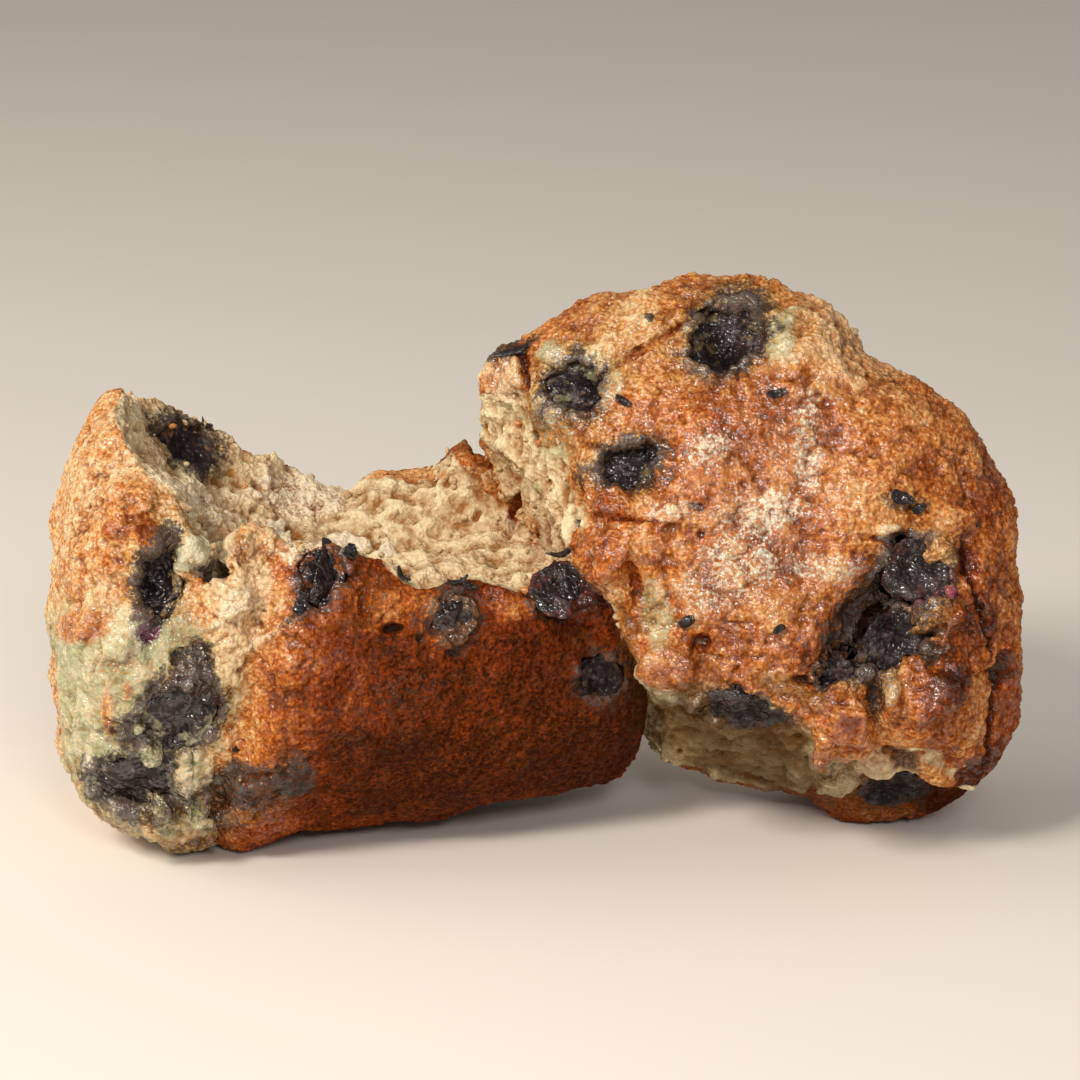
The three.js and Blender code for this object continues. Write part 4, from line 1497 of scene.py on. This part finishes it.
@dataclass(frozen=True)
class BakedBatter:
    """The finish of crust and crumb.

    Attributes:
        crumb: the shaded and the light colour of torn crumb.
        bakes: the crust's colours, from pale to dark.
        pale_grains_and_sheen: the colour of pale grains of batter, and of painted sheen where the crust
            catches the light.
        juice: the colour of the juice that turns batter green.
        jam: where juice has boiled.
        wine: where juice is still bright.
        berry: the dark and the light of stained crumb.
        crevice: the shade between grains and in pores.
        damp: painted shade where the muffin lies in shadow, under the dome and along torn edges.
        glow: how much light goes through it.
        glow_reach: how far that light goes, and how far its red, green and blue do as shares of that.
    """

    crumb: tuple[Colour, Colour] = ((160, 110, 60), (236, 214, 172))
    bakes: tuple[Colour, ...] = ((230, 196, 148), (214, 150, 84), (182, 98, 38), (126, 50, 8), (54, 17, 1))
    pale_grains_and_sheen: Colour = (240, 224, 194)
    juice: Colour = (184, 204, 184)
    jam: Colour = (112, 34, 12)
    wine: Colour = (128, 22, 84)
    berry: tuple[Colour, Colour] = ((20, 15, 15), (96, 84, 76))
    crevice: Colour = (104, 52, 14)
    damp: Colour = (92, 62, 24)
    glow: float = 0.06
    glow_reach: tuple[float, Triple] = (1.2, (1.0, 0.5, 0.22))

    def material(self) -> bpy.types.Material:
        """Makes the material."""
        sheet = Sheet("baked_batter")
        relief = sheet.tint(Tint.RELIEF.value)
        shine = sheet.tint(Tint.SHINE.value)
        broad = sheet.noise(8, 2) - 0.5
        wide = sheet.noise(2.6, 3) - 0.5
        middling = sheet.noise(1.5, 2) - 0.5
        fine = sheet.noise(0.5, 3, 0.6) - 0.5
        beads = sheet.grains(0.6)
        bake = sheet.tint(Tint.BAKE.value)
        skin = sheet.tint(Tint.CRUST.value)
        blotches = (0.3 * broad + 0.45 * wide + 0.4 * middling) * (1.2 - 0.8 * bake)
        # painted light and shade: the crust is paler where the relief stands high and darker in its hollows
        level = bake + blotches + fine * (1.7 - 0.8 * bake) - 0.16 * relief
        places = (0.0, 0.25, 0.5, 0.75, 1.0)
        crust = sheet.ramp(level.held(), *zip(places, self.bakes))
        # painted light and shade: the crumb is lighter where its relief stands high and darker in its hollows
        crumb_level = 0.55 + 1.2 * fine + 0.8 * relief + 0.8 * wide
        crumb = sheet.mix(crumb_level.held(), *self.crumb)
        base = sheet.mix((skin + 0.6 * fine).eased(0.3, 0.7), crumb, crust)
        pale = sheet.tint(Tint.PALE.value)
        # pale grains of batter, and painted sheen of glints where the dome is glossy
        pale_grains_and_sheen = (pale + (2.6 * fine + 0.2 * relief) * (4 * pale).held()).eased(0.15, 0.7)
        base = sheet.mix(0.85 * pale_grains_and_sheen, base, self.pale_grains_and_sheen)
        green = sheet.tint(Tint.GREEN.value)
        base = sheet.soak(green * (1 + 2.2 * wide + 1.6 * fine - 0.3 * relief), base, self.juice)
        base = sheet.mix((sheet.tint(Tint.JAM.value) * 0.9).held(), base, self.jam)
        berry = sheet.tint(Tint.BERRY.value)
        # stained crumb, lighter where its relief stands high, as painted light
        stained = sheet.mix((0.3 + 2.2 * fine + 0.5 * relief).held(), *self.berry)
        uneven = (2.0 * fine + 0.7 * wide) * berry.eased(0.02, 0.3)
        base = sheet.mix((berry + uneven).eased(0.1, 0.9), base, stained)
        base = sheet.mix(sheet.tint(Tint.WINE.value) * 0.8, base, self.wine)
        # painted shade in the hollows of the relief and between grains
        hollow = (0.0 - relief).eased(0.05, 0.8) * 0.45 + beads.eased(0.4, 0.85) * 0.5
        base = sheet.mix(hollow * (0.4 + 0.6 * skin) * (1 - 0.7 * green), base, self.crevice)
        # painted shade: darkens the crumb where it lies in shadow
        base = sheet.mix(sheet.tint(Tint.PAINTED_SHADE.value) * 0.8, base, self.damp)
        height = 0.45 * sheet.noise(0.4, 3, 0.6) + 0.55 * (1 - beads)
        far, shares = self.glow_reach
        glow = {"Subsurface Weight": self.glow, "Subsurface Radius": shares, "Subsurface Scale": far * MM}
        dry = sheet.surface(base, DRY, {**glow, "Normal": sheet.bump(height, 0.55)})
        wet = sheet.surface(base, WET, {**glow, "Normal": sheet.droplets(0.42, 0.13, height)})
        glints = sheet.noise(1.2, 3).eased(0.42, 0.56)
        sheet.add_output(sheet.blend((shine * (0.15 + 1.3 * glints)).held(), dry, wet))
        return sheet.material


@dataclass(frozen=True)
class BerrySkin:
    """The finish of baked blueberry skin and flesh.

    Attributes:
        dark: painted shade, low in the folds and between grains.
        skin: most of it.
        bloom: the dull bloom on the folds.
        red: where the flesh shows through.
        scorch: the shade in the batter at its edge.
    """

    dark: Colour = (18, 9, 9)
    skin: Colour = (48, 37, 38)
    bloom: Colour = (104, 92, 92)
    red: Colour = (84, 28, 26)
    scorch: Colour = (44, 26, 14)

    def material(self) -> bpy.types.Material:
        """Makes the material."""
        sheet = Sheet("berry_skin")
        fold = sheet.tint("fold")
        gloss = sheet.tint("gloss")
        edge = sheet.tint("edge")
        fine = sheet.noise(0.7, 3, 0.6) - 0.5
        wide = sheet.noise(2.4, 2) - 0.5
        beads = sheet.grains(0.7)
        # painted shade: darker where the folds lie low, with random tone
        base = sheet.mix((0.4 + 0.5 * fold + 1.6 * fine).held(), self.dark, self.skin)
        bloom = (0.4 * fold + 2.0 * fine + 1.4 * wide + 0.3 * edge).eased(0.1, 0.8) * (1 - 0.6 * gloss)
        base = sheet.mix(bloom.held(0.0, 0.55), base, self.bloom)
        base = sheet.mix((wide + 0.6 * fine).eased(0.14, 0.32) * 0.6, base, self.red)
        batter = sheet.add("ShaderNodeAttribute", {"attribute_name": "batter"}, output="Color")
        batter = sheet.mix((0.6 + 2.6 * fine + 1.2 * wide).held(), self.scorch, batter)
        base = sheet.mix((edge + 2.4 * fine + 0.8 * wide).eased(0.3, 0.95) * 0.95, base, batter)
        # painted shade between the grains
        base = sheet.mix(beads.eased(0.45, 0.85) * 0.5, base, self.dark)
        height = 0.45 * sheet.noise(0.45, 3, 0.6) + 0.55 * (1 - beads)
        dull = sheet.surface(base, DULL, {"Normal": sheet.bump(height, 0.35)})
        wet = sheet.surface(base, WET, {"Normal": sheet.droplets(0.6, 0.24)})
        glints = sheet.noise(1.1, 2).eased(0.42, 0.62)
        sheet.add_output(sheet.blend((0.15 * glints + gloss * (0.25 + 0.75 * glints)).held(), dull, wet))
        return sheet.material


@dataclass(frozen=True)
class TableTop:
    """The finish of the plain floor.

    Attributes:
        light: its lightest colour.
        shade: its darkest.
        cloud: how wide the soft clouds of shade are.
    """

    light: Colour = (236, 229, 218)
    shade: Colour = (233, 226, 215)
    cloud: float = 60

    def material(self) -> bpy.types.Material:
        """Makes the material."""
        sheet = Sheet("table_top")
        tone = sheet.mix(sheet.noise(self.cloud, 2).held(), self.light, self.shade)
        sheet.add_output(sheet.surface(tone, PLAIN, {}))
        return sheet.material


# ---- The studio --------------------------------------------------------------------------------------------


@dataclass(frozen=True)
class Lamp:
    """A soft square lamp.

    Attributes:
        name: what it does.
        toward: the way from the muffin to it.
        distance: how far it is.
        width: of its face.
        power: in watts.
        colour: of its light.
    """

    name: str
    toward: Triple
    distance: float
    width: float
    power: float
    colour: Colour = (255, 255, 255)

    def build(self) -> None:
        """Makes the lamp."""
        data = bpy.data.lights.new(self.name, "AREA")
        data.size = self.width * MM
        data.energy = self.power
        data.color = linear(self.colour)[:3]
        back = Vector(self.toward).normalized()
        lamp = linked(self.name, data)
        lamp.location = Vector(VIEW.target * MM) + back * self.distance * MM
        lamp.rotation_mode = "QUATERNION"
        lamp.rotation_quaternion = back.to_track_quat("Z", "Y")


@dataclass(frozen=True)
class Studio:
    """The floor, the lamps and the camera.

    Attributes:
        floor_width: of the square floor.
        sky: the colour of the light from all round.
        sky_strength: how strong that light is.
        lamps: each lamp.
    """

    floor_width: float = 6000.0
    sky: Colour = (255, 250, 243)
    sky_strength: float = 0.3
    lamps: tuple[Lamp, ...] = (
        Lamp("key", (-0.46, -0.62, 0.66), 700, 180, 3.9, (255, 247, 238)),
        Lamp("front", (0.14, -0.86, 0.5), 900, 180, 2.2, (255, 254, 252)),
        Lamp("left", (-1.0, 0.0, 0.45), 800, 500, 2.4, (255, 250, 243)),
    )

    def build(self) -> None:
        """Makes the studio."""
        flat = bmesh.new()
        bmesh.ops.create_grid(flat, x_segments=1, y_segments=1, size=self.floor_width / 2 * MM)
        floor = linked("table_top", as_mesh(flat, "table_top", TableTop().material()))
        world = bpy.data.worlds.new("studio")
        world.use_nodes = True
        background = world.node_tree.nodes["Background"]
        background.inputs["Color"].default_value = linear(self.sky)
        background.inputs["Strength"].default_value = self.sky_strength
        scene = bpy.context.scene
        scene.world = world
        scene.view_settings.view_transform = "Standard"
        for lamp in self.lamps:
            lamp.build()
        scene.camera = VIEW.camera()


# ---- All of it ---------------------------------------------------------------------------------------------


def corners(box: tuple[Vector, Vector]) -> list[list[float]]:
    """A box as plain lists of numbers."""
    return [list(corner) for corner in box]


def main() -> None:
    """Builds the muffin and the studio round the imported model."""
    logging.basicConfig(level=logging.INFO, format="%(message)s")
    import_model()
    berries = all_berries()
    skin = BerrySkin().material()
    for seed, berry in enumerate(berries):
        berry.build(skin, seed)
    batter = BakedBatter().material()
    body = MuffinBody()
    body.build(batter, berries)
    BurstSkins().build(body, skin)
    Crumbs().build(body, batter)
    Studio().build()


if __name__ == "__main__":
    main()
